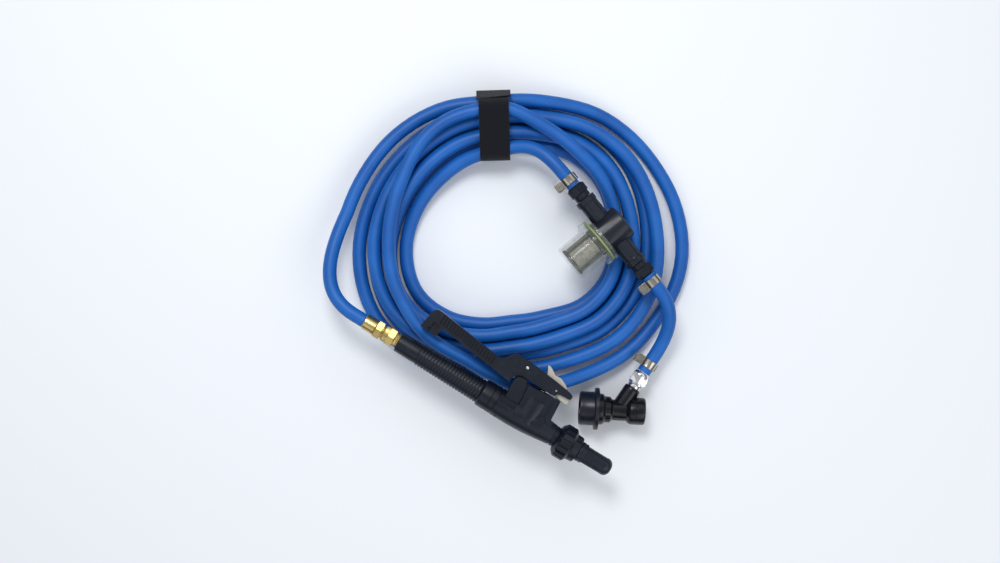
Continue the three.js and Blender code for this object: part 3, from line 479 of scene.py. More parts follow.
def slab(outline, z0, z1):
    # A flat outline in X and Y raised from z0 to z1
    bm = bmesh.new()
    face = bm.faces.new([bm.verts.new((x, y, z0)) for x, y in outline])
    raised = bmesh.ops.extrude_face_region(bm, geom=[face])["geom"]
    bmesh.ops.translate(bm, verts=[v for v in raised if isinstance(v, bmesh.types.BMVert)],
                        vec=(0, 0, z1 - z0))
    bmesh.ops.recalc_face_normals(bm, faces=bm.faces)
    return shapeOf(bm)


def arc(x, y, radius, start, end, count=8):
    return [(x + radius * cos(radians(start + (end - start) * i / count)),
             y + radius * sin(radians(start + (end - start) * i / count))) for i in range(count + 1)]


def block(x0, x1, y0, y1, z0, z1):
    bm = bmesh.new()
    bmesh.ops.create_cube(bm, size=1)
    bmesh.ops.scale(bm, verts=bm.verts, vec=(x1 - x0, y1 - y0, z1 - z0))
    bmesh.ops.translate(bm, verts=bm.verts, vec=((x0 + x1) / 2, (y0 + y1) / 2, (z0 + z1) / 2))
    return shapeOf(bm)


def moved(obj, matrix):
    obj.data.transform(matrix)
    return obj


def about(obj, axis, degrees):
    return moved(obj, Matrix.Rotation(radians(degrees), 4, axis))


def upright(x, y, z0, z1, radius, steps=40):
    # A rod that stands along Z
    return moved(about(rod(z0, z1, radius, steps), "Y", -90), Matrix.Translation((x, y, 0)))


def combine(base, others, how):
    # One boolean of a shape with a list of shapes, which are used up
    for other in others:
        change = base.modifiers.new("change", "BOOLEAN")
        change.operation, change.solver, change.object = how, "EXACT", other
    baked(base)
    for other in others:
        bpy.data.objects.remove(other)
    return base


def cutOut(base, *others):
    return combine(base, others, "DIFFERENCE")


def joined(base, *others):
    return combine(base, others, "UNION")


def hexBar(x0, x1, acrossFlats, chamfer=0.7):
    # A hexagon with flats square to Z, its corners turned off at both ends
    corner = acrossFlats / sqrt(3)
    bar = rod(x0 - 1, x1 + 1, corner, 6)      # past the shell: no faces of theirs lie in one plane
    shell = turned([(x0, 0), (x0, acrossFlats / 2 * 0.97), (x0 + chamfer, corner + 0.1),
                    (x1 - chamfer, corner + 0.1), (x1, acrossFlats / 2 * 0.97), (x1, 0)])
    return combine(about(bar, "X", 30), [shell], "INTERSECT")


def around(make, count, start=0.5):
    return [about(make(), "X", 360 * (i + start) / count) for i in range(count)]


def wire(points, radius, sides=12):
    data = bpy.data.curves.new("wire", "CURVE")
    data.dimensions, data.bevel_depth, data.use_fill_caps = "3D", radius, True
    data.bevel_resolution = sides // 4
    spline = data.splines.new("POLY")
    spline.points.add(len(points) - 1)
    for target, point in zip(spline.points, points):
        target.co = (*point, 1)
    curve = bpy.data.objects.new("wire", data)
    scene.collection.objects.link(curve)
    mesh = bpy.data.meshes.new_from_object(curve.evaluated_get(bpy.context.evaluated_depsgraph_get()))
    bpy.data.objects.remove(curve)
    obj = bpy.data.objects.new("shape", mesh)
    scene.collection.objects.link(obj)
    return obj


def baked(obj):
    done = bpy.data.meshes.new_from_object(obj.evaluated_get(bpy.context.evaluated_depsgraph_get()))
    obj.modifiers.clear()
    obj.data = done
    return obj


def softened(obj, width, angle=33, segments=2):
    # Rounds the sharp edges while the shape is still in millimetres
    bevel = obj.modifiers.new("edges", "BEVEL")
    bevel.width, bevel.segments, bevel.angle_limit = width, segments, radians(angle)
    bevel.limit_method = "ANGLE"
    return baked(obj)


def bothSides(outline, half, reach):
    # A slab at +Z and its mirror at -Z, from half to half + reach
    return [slab(outline, half, half + reach), slab(outline, -half - reach, -half)]


def merge(*shapes):
    # Shapes that only rest in each other become one piece
    bm = bmesh.new()
    for shape in shapes:
        bm.from_mesh(shape.data)
        bpy.data.objects.remove(shape)
    return shapeOf(bm)


def finishPiece(shape, name, place, finish, nodes, body="bench_body", edge=0.3, angle=33):
    # Rounds the edges, shades by angle, gives the finish and takes over the CAD nodes
    shape.name = shape.data.name = name
    moved(shape, toMetres @ place)
    shape.data.materials.clear()
    shape.data.materials.append(finishes[finish])
    shape.data.shade_smooth()
    if edge:
        bevel = shape.modifiers.new("edges", "BEVEL")
        bevel.width, bevel.segments, bevel.angle_limit = edge / 1000, 2, radians(angle)
        bevel.limit_method, bevel.harden_normals = "ANGLE", True
    else:
        shape.data.set_sharp_from_angle(angle=radians(angle))
        shape.modifiers.new("flats", "WEIGHTED_NORMAL").keep_sharp = True
    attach(shape, body)
    if nodes:
        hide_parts(*nodes)
    return shape


# Brass fitting behind the grip
fitting = {
    "sleeve": (-128.6, -116.6), "sleeveRadius": 7.4, "across": 15.4, "bore": 3,
    "hexes": ((-116.4, -110), (-103.9, -97)), "neckRadius": 5.4, "collar": 7.5,
    "thread": 6.2, "threadPitch": 1.4,
}


def makeFitting(size):
    x0, x1 = size["sleeve"]
    outer = size["sleeveRadius"]
    sleeve = turned([(x0, 6.65), (x0, outer - 0.5), (x0 + 0.5, outer - 0.1), (x0 + 1.6, outer),
                     (x1 - 0.5, outer), (x1, outer - 0.5), (x1, size["bore"]),
                     (x0 + 3.5, size["bore"]), (x0 + 3.5, 6.65)], ring=True)
    finishPiece(sleeve, "fitting_sleeve", gunPlace, "brass", ["brass_sleeve"], edge=0.12)
    (a, b), (c, d) = size["hexes"]
    thread = [(-97.5, 0), (-97.5, size["thread"] - 0.5)]
    for i in range(9):
        x = -96.6 + i * size["threadPitch"]
        thread += [(x, size["thread"] - 0.6), (x + size["threadPitch"] * 0.45, size["thread"])]
    thread += [(-83.8, size["thread"] - 0.7), (-83.8, 0)]
    adapter = joined(
        hexBar(a, b, size["across"]),
        turned([(b - 1, 0), (b - 1, size["neckRadius"]), (b + 1, size["neckRadius"]),
                (b + 1.6, size["collar"] - 0.9), (b + 2.3, size["collar"] - 0.1),
                (c - 0.6, size["collar"]), (c - 0.2, size["collar"] - 0.7), (c + 1, size["collar"] - 0.7),
                (c + 1, 0)]),
        hexBar(c, d, size["across"]), turned(thread))
    finishPiece(cutOut(adapter, rod(a - 1, -80, size["bore"])), "fitting_adapter", gunPlace,
                "brass", ["brass_adapter"], edge=0.16)


makeFitting(fitting)
print("brass fitting made")


# Handle, valve chamber and front tube in one moulding
gunBody = {
    "rear": (-92.6, -73.6), "rearRadii": (9.35, 9.6), "bore": 6.5, "waterway": 4,
    "ribs": 21, "ribStart": -70.3, "ribPitch": 3.1, "ribRadii": (10.1, 11.2),
    "rib": ((0, 0.8), (0.1, 0.3), (0.5, 0.05), (1, 0), (1.7, 0), (2.2, 0.05), (2.6, 0.3), (2.7, 0.8)),
    "collar": ((-5.3, 11.3), (-4.3, 12.5), (-3.3, 12.95), (4.6, 13.1), (4.9, 12.7), (5.3, 12.7),
               (5.6, 13.1), (10.4, 13.15), (10.8, 12.75)),
    "belly": ((11.3, 12.75), (11.9, 13.3), (30, 13.45), (46, 12.7), (60, 11.05), (70.4, 9.65)),
    "grooves": (70.8, 73.2), "tubeRadius": 9.65, "tubeEnd": 75.2, "threadRadius": 8.2, "end": 84,
    "half": 11.5, "chamber": (42.3, 13.4, 8.5), "chamberRise": 20, "top": 29.8,
    "hub": (20.9, 24.4, 6.4), "slot": (12.6, 28.6, 2.3, 8.6), "slotFloor": 11.1, "pivot": (19.7, 40.6),
}


def bodyTurning(size):
    a, b = size["rear"]
    low, high = size["rearRadii"]
    profile = [(a, size["bore"]), (a, low - 1), (a + 0.5, low - 0.3), (a + 1.3, low), (b, high),
               (b + 2.4, high - 0.1)]
    first, last = size["ribRadii"]
    for i in range(size["ribs"]):
        crest = first + (last - first) * i / (size["ribs"] - 1)
        profile += [(size["ribStart"] + i * size["ribPitch"] + x, crest - drop) for x, drop in size["rib"]]
    profile += [*size["collar"], *size["belly"]]
    tube = size["tubeRadius"]
    for x in size["grooves"]:
        profile += [(x, tube), (x + 0.2, tube - 0.8), (x + 0.8, tube - 0.8), (x + 1, tube)]
    end = size["tubeEnd"]
    profile += [(end - 0.3, tube), (end, tube - 0.3), (end, size["threadRadius"] - 0.7)]
    while end < size["end"] - 1.8:
        profile += [(end + 0.5, size["threadRadius"] - 0.7), (end + 1.1, size["threadRadius"])]
        end += 1.6
    profile += [(size["end"], size["threadRadius"] - 0.8), (size["end"], size["waterway"]),
                (a + 9.3, size["waterway"]), (a + 9.3, size["bore"])]
    return turned(profile, 80, ring=True)


def makeGunBody(size):
    half, top = size["half"], size["top"]
    hubX, hubY, hubRadius = size["hub"]
    x, outer, inner = size["chamber"]
    px, py = size["pivot"]
    tongue = slab([(px - 5, 24), (px - 5, py), (px - 2.5, py + 4), (px + 2.5, py + 4), (px + 5, py),
                   (px + 7.5, 24)], -3.4, 3.4)
    pillar = slab([(15.3, 2), (15.3, 16), *arc(hubX, hubY, hubRadius, 180, 0, 12), (28.6, 16),
                   (28.6, 2)], -half, half)
    fillet = arc(64.9, 12.6, 3, 180, 270, 6)
    chest = slab([(27, 0), (27, top - 1.8), (60.8, top), *fillet, (65, 0)], 2.4 - half, half - 2.4)
    upper = slab([(29.9, 3), (29.9, top - 1.6), (54.4, top - 0.3), (54.4, 3)], 0.6 - half, half - 0.6)
    plate = slab([(29, 17), (29, top - 1.7), (46.6, top - 0.8), (46.6, 17)], -half - 0.5, half + 0.5)
    barrel = moved(about(rod(-3, size["chamberRise"], outer, 72), "Z", 90), Matrix.Translation((x, 0, 0)))
    gusset = slab([(46.6, 0), (48.8, 5.4), (53.8, 10.8), (57.4, 9), (57.4, 0)], -half - 0.2, half + 0.2)
    lines = [slab([(16.2, 9.4), (16.2, 14.4), (16.8, 14.4), (16.8, 9.4)], -half - 0.3, half + 0.3),
             slab([(16.2, -12.9), (16.2, -11), (16.8, -11), (16.8, -12.9)], -7.6, 7.6)]
    seam = about(slab([(13.7, -13.7), (13.7, 13.7), (30, 13.8), (46, 13.05), (60, 11.4), (67, 10.3),
                       (67, -10.3), (60, -11.4), (46, -13.05), (30, -13.8)], -0.3, 0.3), "X", 90)
    x0, x1, y0, y1 = size["slot"]

    def recess(deeper=0):
        return bothSides([(x0, y0), (x1, y0), (x1, y1), (x0, y1)], size["slotFloor"] - deeper, 10)

    def bore():
        return moved(about(rod(-6, 40, inner, 64), "Z", 90), Matrix.Translation((x, 0, 0)))

    water = rod(-80, 90, size["waterway"], 32)
    turning = cutOut(joined(bodyTurning(size), seam), *recess(), bore())
    bulk = joined(pillar, chest, upper, plate, barrel, gusset, tongue, *lines)
    bulk = cutOut(bulk, *recess(0.4), bore(), water, upright(px, py, -10, 10, 1.75))
    return finishPiece(merge(turning, softened(bulk, 0.35)), "gun_body", gunPlace, "black",
                       ["valve_body"], edge=0)


gunPart = makeGunBody(gunBody)
print("gun body made")


# Squeeze lever with its pivot pin, lock clip, clip pin and wire
lever = {
    "outline": (
        (-82.9, 23.2), (-82.2, 22.6), (-76.6, 23.2), (-75.6, 23.6), (-75.0, 22.9), (-74.2, 22.2),
        (-66.9, 21.7), (-66.2, 22.2), (-64.2, 30.6), (-62.6, 31.2), (-40, 28.0), (11.6, 21.4),
        (12.2, 25.2), (14.4, 29.4), (17.2, 31.4), (20.3, 32), (49.5, 30.7), (53.2, 31.2), (55.2, 34),
        (58, 35.1), (66.8, 35.3), (67.7, 35.9), (68.2, 38.9), (67.4, 39.9), (60.2, 41.9), (45.5, 43.9),
        (27, 45.6), (8.6, 46.7), (6, 46.4), (4, 45.6), (2.4, 43.8), (-1.2, 38.6), (-3, 36.6),
        (-5.2, 35.6), (-8, 35.3), (-73.2, 43.9), (-75.6, 44), (-78, 43), (-79.4, 41.2), (-80.4, 38)),
    "pockets": (((-74.4, 20), (-74.4, 31.6), (-73.6, 32.4), (-68.4, 31.6), (-67.6, 30.4), (-68.2, 20)),
                ((-75.9, 20), (-76.1, 26.6), (-75.1, 26.6), (-74.9, 20))),
    "half": 7, "ribs": 19, "ribStart": -69, "ribPitch": 3.2, "pivot": (19.7, 40.6), "pin": 1.6,
    "clipPivot": (52.6, 36.2), "clipPin": 0.9, "slotHalf": 4,
}
clip = {
    "outline": (
        (38.5, 44.4), (36.4, 49), (34.9, 51.6), (35.1, 52.3), (36.6, 52.4), (38.6, 51.7), (41.4, 50),
        (44, 48.2), (46, 47.5), (48.4, 47.8), (51, 47.9), (53.4, 46.9), (57, 45.2), (60.2, 43),
        (60.4, 42), (58.8, 38.6), (60.8, 36.6), (63.6, 35.8), (66, 34.6), (67.5, 32.8), (67.6, 31.2),
        (66.4, 30.1), (64.6, 29.9), (61.6, 30.6), (58.6, 30.9), (56.8, 31.3), (55.2, 33), (49.6, 34.4)),
    "half": 3.7, "wire": ((36.5, 35.2), (42, 33.6), (49, 32.6), (54.5, 31.8), (58, 30.4), (60.6, 29)),
}


def makeLever(size, part):
    half = size["half"]
    px, py = size["pivot"]
    cx, cy = size["clipPivot"]
    arm = slab(size["outline"], -half, half)
    arm = cutOut(arm, block(px - 9, px + 9.5, 15, 60, -3.7, 3.7),
                 block(36, 76, 28, 60, -size["slotHalf"], size["slotHalf"]),
                 upright(px, py, -10, 10, size["pin"] + 0.15), upright(cx, cy, -10, 10, size["clipPin"] + 0.15),
                 *(side for i in range(size["ribs"]) for side in groove(size, i)),
                 *(side for outline in size["pockets"] for side in bothSides(outline, half - 3, 5)))
    teeth = softened(arm, 0.5)
    finishPiece(teeth, "lever", gunPlace, "black", ["squeeze_lever"], "lever", edge=0)
    pin = turned([(-half - 0.8, 0), (-half - 0.65, 0.8), (-half - 0.4, 1.3), (-half - 0.1, size["pin"]),
                  (half + 0.1, size["pin"]), (half + 0.4, 1.3), (half + 0.65, 0.8), (half + 0.8, 0)], 32)
    pin = moved(about(pin, "Y", -90), Matrix.Translation((px, py, 0)))
    finishPiece(pin, "lever_pin", gunPlace, "chrome", ["pivot_pin"], edge=0)
    body = cutOut(slab(part["outline"], -part["half"], part["half"]),
                  upright(cx, cy, -10, 10, size["clipPin"] + 0.15))
    finishPiece(softened(body, 0.5), "lever_clip", gunPlace, "clip", ["lock_clip"], "clip",
                edge=0)
    finishPiece(upright(cx, cy, -half - 0.3, half + 0.3, size["clipPin"], 24), "clip_pin_part", gunPlace,
                "chrome", ["clip_pin"], "lever", edge=0)
    finishPiece(wire([(x, y, 0) for x, y in part["wire"]], 0.4), "clip_spring", gunPlace, "chrome",
                ["clip_wire"], "clip", edge=0)


def groove(size, i):
    # One finger groove in both cheeks of the lever, open at its upper edge
    x = size["ribStart"] + i * size["ribPitch"]
    edge = 43 - (x + 72) * 0.124
    half = size["half"]
    return bothSides([(x, edge - 8.4), (x + 0.7, edge - 8.8), (x + 1.4, edge - 8.4), (x + 1.5, edge - 1),
                      (x + 2.2, edge + 1.5), (x - 0.8, edge + 1.5), (x - 0.1, edge - 1)], half - 2, 3)


makeLever(lever, clip)
print("lever made")


# Fluted cap nut and adjustable nozzle
nozzle = {
    "nut": ((75.5, 8.5), (75.5, 11.4), (76, 12.6), (78.8, 15.7), (79.5, 16.2), (88.4, 16.2), (89.3, 15.6),
            (91, 13), (91.5, 12.7), (96.6, 12.3), (97.5, 11.9), (97.8, 11.2), (97.8, 6), (92.8, 6), (92.8, 8.5)),
    "flutes": 16, "flute": (76.6, 88.4, 14.7, 0.85), "notches": 6,
    "tip": ((98.1, 6), (98.1, 8.6), (98.5, 9.15), (99.2, 9.35), (101.6, 9.3), (102, 8.95), (102.5, 8.95),
            (102.9, 9.2), (126.6, 8.15), (128.4, 7.75), (130.2, 6.6), (131.4, 5), (132, 3.4), (132.1, 2),
            (131.6, 1.2), (131.6, 0.9), (129.1, 0.9), (129.1, 4.6), (115.8, 4.6), (115.8, 6)),
    "flat": (104.5, 125, 7.75), "hole": (118.5, -5.2, 0.8),
}


def makeNozzle(size):
    x0, x1, depth, half = size["flute"]
    flutes = around(lambda: block(x0, x1, -half, half, depth, 20), size["flutes"])
    notches = around(lambda: block(93.6, 99, -1.4, 1.4, 11.5, 14), size["notches"])
    nut = cutOut(turned(size["nut"], ring=True), *flutes, *notches)
    finishPiece(softened(nut, 0.3), "nozzle_nut", gunPlace, "black", ["cap_nut"], "nut",
                edge=0)
    x0, x1, depth = size["flat"]
    flats = around(lambda: block(x0, x1, -9, 9, depth, 12), 4, 0)
    x, y, radius = size["hole"]
    tip = cutOut(turned(size["tip"], ring=True), *flats, upright(x, y, 4.6, 12, radius, 20))
    finishPiece(softened(tip, 0.2, 25), "nozzle_end", gunPlace, "satinBlack",
                ["nozzle_tip"], "nozzle", edge=0)


makeNozzle(nozzle)
print("nozzle made")


# Strainer with its clear bowl; the bowl points to -Y
strainer = {
    "body": ((-15.4, 0), (-15.4, 13.6), (-15, 14.9), (-14, 16.1), (-12.6, 16.5), (12, 16.5), (12.7, 15.9),
             (12.7, 13.4), (18.6, 13.4), (19, 13), (19, 0)),
    "arm": ((0, 0), (0, 8.8), (31.4, 8.8), (32.2, 9.1), (32.6, 9.7), (37.4, 9.7), (38, 9.2), (38, 0)),
    "lugs": 8,
    "adapter": ((30, 0), (30, 5.4), (38.3, 5.4), (38.3, 7.2), (38.6, 7.5), (43, 7.5), (43.5, 7.9),
                (43.5, 0)),
    "hex": (43.3, 51.4, 17), "nose": ((50, 0), (50, 8.9), (51.2, 8.5), (52.6, 6.7), (52.6, 0)), "bore": 2.6,
    "ring": ((9.1, 16.8), (9.1, 20.6), (9.8, 21.5), (12.1, 21.5), (12.7, 20.9), (12.7, 16.8)),
    "gasket": ((13, 13.7), (13, 21.5), (13.4, 21.9), (14.4, 21.9), (14.8, 21.5), (14.8, 13.7)),
    "bowl": ((15.1, 13.7), (15.1, 20.9), (15.7, 21.5), (20.6, 21.5), (21.6, 21.1), (23.4, 19.2),
             (24.1, 18.2), (24.9, 17.8), (46, 17.6), (47.4, 17.1), (48.2, 16.2), (48.5, 15), (48.5, 0),
             (46.5, 0), (46.5, 14.4), (45.9, 15.4), (44.8, 15.8), (20, 15.8), (20, 13.7)),
    "screen": (19.3, 43.3, 12.4), "frame": ((43.6, 0), (43.6, 12.6), (44, 13.5), (45.8, 13.5),
                                           (46.2, 13), (46.2, 0)),
}


def makeStrainer(size):
    across = strainerPlace @ Matrix.Rotation(-pi / 2, 4, "Z")
    arms = [about(turned(size["arm"]), "Z", turn) for turn in (0, 180)]
    tee = cutOut(joined(about(turned(size["body"], 96), "Z", -90), *arms), about(rod(-9, 25, 9.6), "Z", -90), rod(-40, 40, 3.6),
                 rod(-39, -29, 5.7), rod(29, 39, 5.7))
    finishPiece(softened(tee, 0.4, 38), "strainer_tee", strainerPlace, "satinBlack",
                ["strainer_body"], edge=0)
    for node, turn in (("inlet_adapter", 180), ("outlet_adapter", 0)):
        adapter = cutOut(joined(turned(size["adapter"]), hexBar(*size["hex"]), turned(size["nose"])),
                         rod(20, 60, size["bore"], 32))
        finishPiece(about(adapter, "Z", turn), node.replace("_", "_hex_"), strainerPlace, "black",
                    [node], edge=0.2)
    ring = joined(turned(size["ring"], 96, ring=True),
                  *around(lambda: block(9.8, 12.4, -2.6, 2.6, 20, 23.2), size["lugs"]))
    finishPiece(softened(ring, 0.35, 40), "bowl_lock_ring", across, "bowl", ["bowl_ring"],
                edge=0)
    finishPiece(turned(size["gasket"], 96, ring=True), "bowl_seal", across, "gasket",
                ["bowl_gasket"], edge=0)
    bowl = joined(turned(size["bowl"], 96),
                  *around(lambda: block(15.5, 20.8, -2.6, 2.6, 20, 23.2), size["lugs"]))
    finishPiece(softened(bowl, 0.35, 40), "clear_bowl", across, "bowl",
                ["strainer_bowl"], "bowl", edge=0)
    x0, x1, radius = size["screen"]
    cloth = turned([(x0, radius), (x1, radius)], 120)
    layer = cloth.data.uv_layers.new(name="weave")
    for face in cloth.data.polygons:
        for loop in face.loop_indices:
            x, y, z = cloth.data.vertices[cloth.data.loops[loop].vertex_index].co
            angle = atan2(z, y) / (2 * pi) % 1
            if angle < 0.001 and face.center.z < 0:
                angle = 1
            layer.data[loop].uv = (angle, (x - x0) / (x1 - x0))
    finishPiece(cloth, "wire_screen", across, "screen", ["mesh_screen"], edge=0)
    bars = around(lambda: block(19.4, 44, -1.1, 1.1, 12.5, 13.3), 4)
    finishPiece(joined(turned(size["frame"]), *bars), "screen_end", across, "black",
                ["screen_frame"], edge=0)


makeStrainer(strainer)
print("strainer made")


# Worm-drive clamps; the screw stands beside the hose at -Y with its slot up
clampSize = {
    "half": 3.9, "bore": 6.65, "band": 0.8, "screwOut": 11.15, "screwRadius": 2.4, "head": 6.6,
    "housing": (4.4, 14.4, 5.4, 4.6),
}
clampPlaces = {"inlet": (strainerPlace, -59.8, 1), "outlet": (strainerPlace, 59.8, 1),
               "tail": (sideArmPlace, 51.2, -1)}


def makeClamp(name, size, where, x, side):
    place = where @ Matrix.Translation((x, 0, 0))
    if side < 0:
        place = place @ Matrix.Rotation(pi, 4, "X")
    half, bore, thick = size["half"], size["bore"], size["band"]
    outer = bore + thick
    band = turned([(-half, bore), (-half, outer - 0.25), (0.25 - half, outer), (-2.2, outer),
                   (-1.9, outer - 0.15), (1.9, outer - 0.15), (2.2, outer), (half - 0.25, outer),
                   (half, outer - 0.25), (half, bore)], 96, ring=True)
    tail = slab(arc(0, 0, outer + 0.75, 100, 178, 24) + arc(0, 0, outer + 0.05, 178, 100, 24), 0.3 - half,
                half - 0.3)
    tail = softened(about(tail, "Y", -90), 0.2)
    finishPiece(merge(band, moved(tail, Matrix.Rotation(pi / 2, 4, "X"))), f"{name}_band", place, "steel",
                [f"{name}_clamp_band"], edge=0)
    reach, wall, inner, rise = size["housing"]
    out = size["screwOut"]
    housing = cutOut(block(-reach, reach, -wall, -inner, -rise, rise),
                     rod(-9, 9, outer + 0.3), upright(0, -out, -8, 8, size["screwRadius"] + 0.25),
                     block(-reach + 1, reach - 1, -wall - 1, -wall + 1.2, -rise + 1.4, rise - 1.4))
    finishPiece(softened(housing, 0.55), f"{name}_screw_housing", place, "steel",
                [f"{name}_clamp_housing"], edge=0)
    worm = [(-4.9, 0), (-4.9, 1.9)]
    for i in range(8):
        worm += [(-4.4 + i * 1.1, 1.9), (-3.95 + i * 1.1, size["screwRadius"])]
    worm = turned([*worm, (4.9, 1.9), (4.9, 3.5), (5.4, 3.7), (5.4, 0)])
    head = cutOut(joined(worm, hexBar(5.2, 7.7, size["head"], 0.5)), block(5.9, 9, -5, 5, -0.55, 0.55))
    screw = moved(about(head, "Y", -90), Matrix.Translation((0, -out, 0)))
    if side < 0:
        screw = moved(screw, Matrix.Translation((0, -out, 0)) @ Matrix.Rotation(pi, 4, "X")
                      @ Matrix.Translation((0, out, 0)))
    finishPiece(softened(screw, 0.15), f"{name}_worm_screw", place, "steel",
                [f"{name}_clamp_screw"], f"{name}_screw", edge=0)


for name, (where, x, side) in clampPlaces.items():
    makeClamp(name, clampSize, where, x, side)
print("clamps made")


# Quick disconnect: collar, body with side arm, end cap and swivel nut
disconnect = {
    "body": ((1.2, 8.8), (1.2, 13.1), (1.5, 13.4), (2.5, 13.4), (2.7, 12.4), (20.9, 12.4), (20.9, 14.1),
             (18.1, 14.1), (18.1, 14.35), (21, 14.35), (21.7, 13.9), (23.4, 12.4), (24.2, 12.1), (28, 11.9),
             (28.6, 11.5), (30.2, 9.8), (31, 9.6), (43, 9.5), (45.9, 11.9), (46.2, 11.9), (46.2, 9), (56.7, 9), (56.7, 6.2), (15.2, 6.2), (15.2, 8.8)),
    "ribs": 22, "grooves": 10,
    "arm": ((6, 0), (6, 7.9), (22.4, 7.9), (24, 7.7), (24.9, 7.1), (25.2, 6.4), (25.2, 5.2), (36, 5.2), (36, 0)),
    "collar": ((0, 13.7), (0, 15), (0.3, 15.5), (0.9, 15.65), (2, 15.6), (12.9, 15.65), (13.5, 15.9),
               (13.8, 16.5), (13.8, 19), (14.3, 19.5), (17.1, 19.5), (17.6, 19), (17.6, 14.6), (6, 14.6),
               (6, 12.7), (3, 12.7), (3, 13.7)),
    "cap": ((60.1, 0), (60.1, 4.2), (60.7, 4.8), (60.7, 11), (60.3, 11.8), (59.5, 12.4), (58, 12.6),
            (52.4, 12.65), (52.2, 12.4), (51.8, 12.4), (51.6, 12.65), (47.4, 12.6), (46.6, 12.2),
            (46.4, 11.6), (46.4, 9.3), (57, 9.3), (57, 0)),
    "nut": ((25.5, 5.5), (25.5, 6.3), (28, 6.7), (28.8, 7.4), (30.6, 7.4), (30.6, 5.5)), "nutHex": (30.2, 39.2, 15.2),
    "nutEnd": ((38.4, 3.8), (38.4, 7.9), (39.6, 7.7), (41, 6.9), (41.6, 6.4), (41.6, 3.8)),
}


def makeDisconnect(size):
    toArm = disconnectPlace.inverted() @ sideArmPlace
    body = turned(size["body"], 96, ring=True)
    ribs = around(lambda: block(24.4, 28.2, -0.55, 0.55, 11.4, 14), size["ribs"])
    grooves = around(lambda: block(31, 42.6, -0.85, 0.85, 8.9, 11), size["grooves"], 0)
    arm = cutOut(moved(turned(size["arm"], 72), toArm), rod(46.1, 66, 12.9), rod(0, 60, 8, 72))
    body = cutOut(joined(cutOut(body, *ribs, *grooves), arm), moved(rod(2, 40, 2.6, 32), toArm))
    finishPiece(softened(body, 0.22, 38), "disconnect_shell", disconnectPlace, "gloss",
                ["disconnect_body"], edge=0)
    finishPiece(turned(size["collar"], 96, ring=True), "pull_collar", disconnectPlace, "satinBlack",
                ["lock_collar"], "collar", edge=0.15)
    cap = cutOut(turned(size["cap"], 96), block(59.3, 62, -4.4, 4.4, -0.8, 0.8))
    finishPiece(softened(cap, 0.2, 38), "screwed_cap", disconnectPlace, "gloss",
                ["end_cap"], edge=0)
    x0, x1, across = size["nutHex"]
    nut = joined(cutOut(hexBar(x0, x1, across, 0.9), rod(20, 50, 5.5)), turned(size["nut"], ring=True),
                 turned(size["nutEnd"], ring=True))
    finishPiece(softened(nut, 0.15), "chrome_nut", sideArmPlace, "chrome", ["swivel_nut"],
                "swivel", edge=0)


makeDisconnect(disconnect)
print("quick disconnect made")


# Hook-and-loop strap round the coil, with its free end standing out
coilMiddle = Vector((*hose["centre"], 0))
strap = {"angle": 126.9, "lean": -4, "width": 27.6, "thick": 2, "gap": 0.7, "passes": 8,
         "patch": (1.5, 7.5, 31.5), "skew": 1.6}


def strapHull(size, offset):
    out = Vector((cos(radians(size["angle"])), sin(radians(size["angle"])), 0))
    points = []
    for k in range(size["passes"]):
        for nearby in (-0.012, 0, 0.012):
            centre = loopPoint(min(max(k + nearby, 0), hose["lastTurn"]))
            points += arc((centre - coilMiddle).dot(out), centre.z, hoseRadius + offset, 0, 360, 32)
    return [points[i] for i in convex_hull_2d([Vector(p) for p in points])]


def makeStrap(size):
    half = size["width"] / 2
    inner, outer, top = (strapHull(size, size["gap"] + extra) for extra in (
        0, size["thick"], size["thick"] + size["patch"][0]))
    band = cutOut(slab(outer, -half, half), slab(inner, -half - 5, half + 5))
    reach = max(x for x, y in outer)
    wide = size["patch"][2] / 2
    patch = cutOut(slab(top, -wide, wide), slab(strapHull(size, size["gap"] + size["thick"] - 0.3),
                                               -wide - 5, wide + 5),
                   block(-300, reach - size["patch"][1], -50, 90, -wide - 5, wide + 5))
    for vert in patch.data.vertices:
        if vert.co.x < reach - size["patch"][1] + 0.1:
            vert.co.x += vert.co.z / wide * size["skew"]
    shape = merge(softened(band, 0.5), softened(patch, 0.4))
    moved(shape, Matrix.Rotation(radians(size["angle"]), 4, "Z") @ Matrix.Rotation(pi / 2, 4, "X"))
    outward = Vector((cos(radians(size["angle"])), sin(radians(size["angle"])), 0)) * reach
    moved(shape, Matrix.Translation(coilMiddle + outward)
          @ Matrix.Rotation(radians(size["lean"]), 4, "Z") @ Matrix.Translation(-outward))
    return finishPiece(shape, "hook_and_loop_strap", benchPlace, "strap", ["strap"], edge=0)


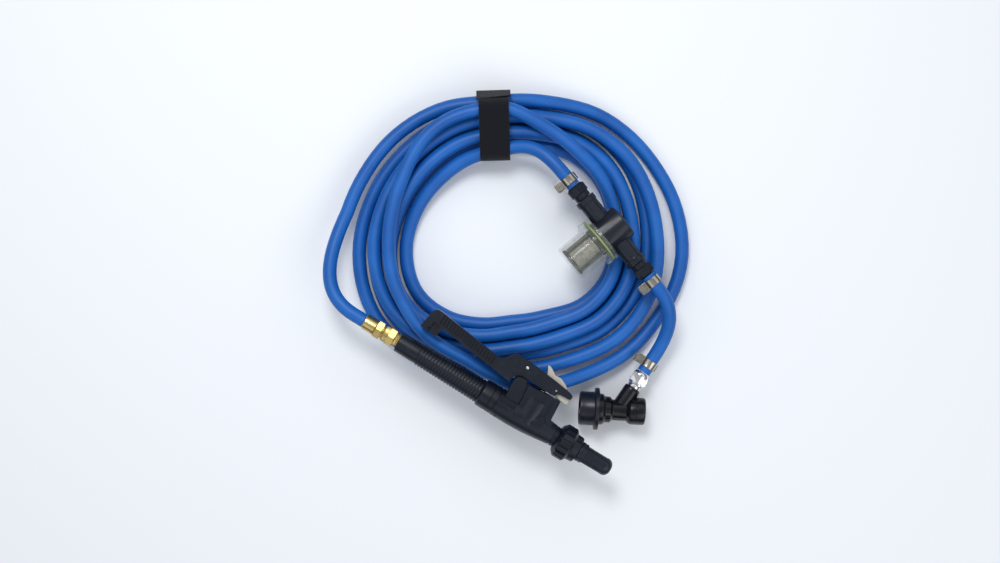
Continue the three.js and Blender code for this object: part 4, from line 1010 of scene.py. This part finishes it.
strapPiece = makeStrap(strap)
toMetres @ benchPlace @ leadPoints[-1]
toMetres @ benchPlace @ shortPoints[0]


# Pieces inside the valve and the socket that show through their openings
inner = {
    "chamberX": 42.3,
    "plug": ((20, 2.9), (20, 8.2), (27.9, 8.2), (28.3, 8), (29, 7.5), (29.3, 7), (29.3, 4.6), (29, 4.2),
             (27.6, 4), (27.6, 2.9)),
    "stem": ((-2, 0), (-2, 3.2), (0.5, 5.6), (3.2, 5.6), (3.2, 2.6), (29.7, 2.6), (30.3, 2.1),
             (30.5, 1.3), (30.5, 0)),
    "poppet": ((14.8, 0), (14.8, 1.6), (15.1, 2.3), (16.2, 5), (16.8, 5.6), (18.8, 5.6), (19, 5.4),
               (19, 1.8), (42, 1.8), (42, 0)),
    "seal": ((12, 7), (11.8, 7.6), (12, 8.3), (12.6, 8.5), (13.2, 8.3), (13.6, 7.6), (13.4, 6.9),
             (12.6, 6.6)),
}


def makeInner(size):
    toChamber = gunPlace @ Matrix.Translation((size["chamberX"], 0, 0)) @ Matrix.Rotation(pi / 2, 4, "Z")
    plug = cutOut(turned(size["plug"], 64, ring=True), block(28.4, 31, -0.9, 0.9, -9, 9))
    finishPiece(plug, "chamber_plug", toChamber, "black", ["valve_plug"], edge=0.15)
    finishPiece(turned(size["stem"]), "stem_part", toChamber, "steel", ["valve_stem"], "stem",
                edge=0.15)
    finishPiece(turned(size["poppet"]), "poppet_part", disconnectPlace, "steel", ["poppet"],
                "plunger", edge=0.15)
    finishPiece(turned(size["seal"], 64, ring=True), "socket_ring", disconnectPlace, "gasket",
                ["socket_seal"], edge=0, angle=60)


makeInner(inner)
print("inner pieces made")


# CAD pieces that stay as they are get their finishes
kept = {
    "stem_seal": "seal", "valve_spring": "steel", "cap_seal": "seal", "nozzle_stem": "black",
    "swirl_insert": "brass", "collar_spring": "steel", "poppet_spring": "steel", "barbed_tail": "chrome",
}
for node, finish in kept.items():
    bpy.data.objects[node].material_slots[0].material = finishes[finish]
print("kept nodes dressed:", len(kept))
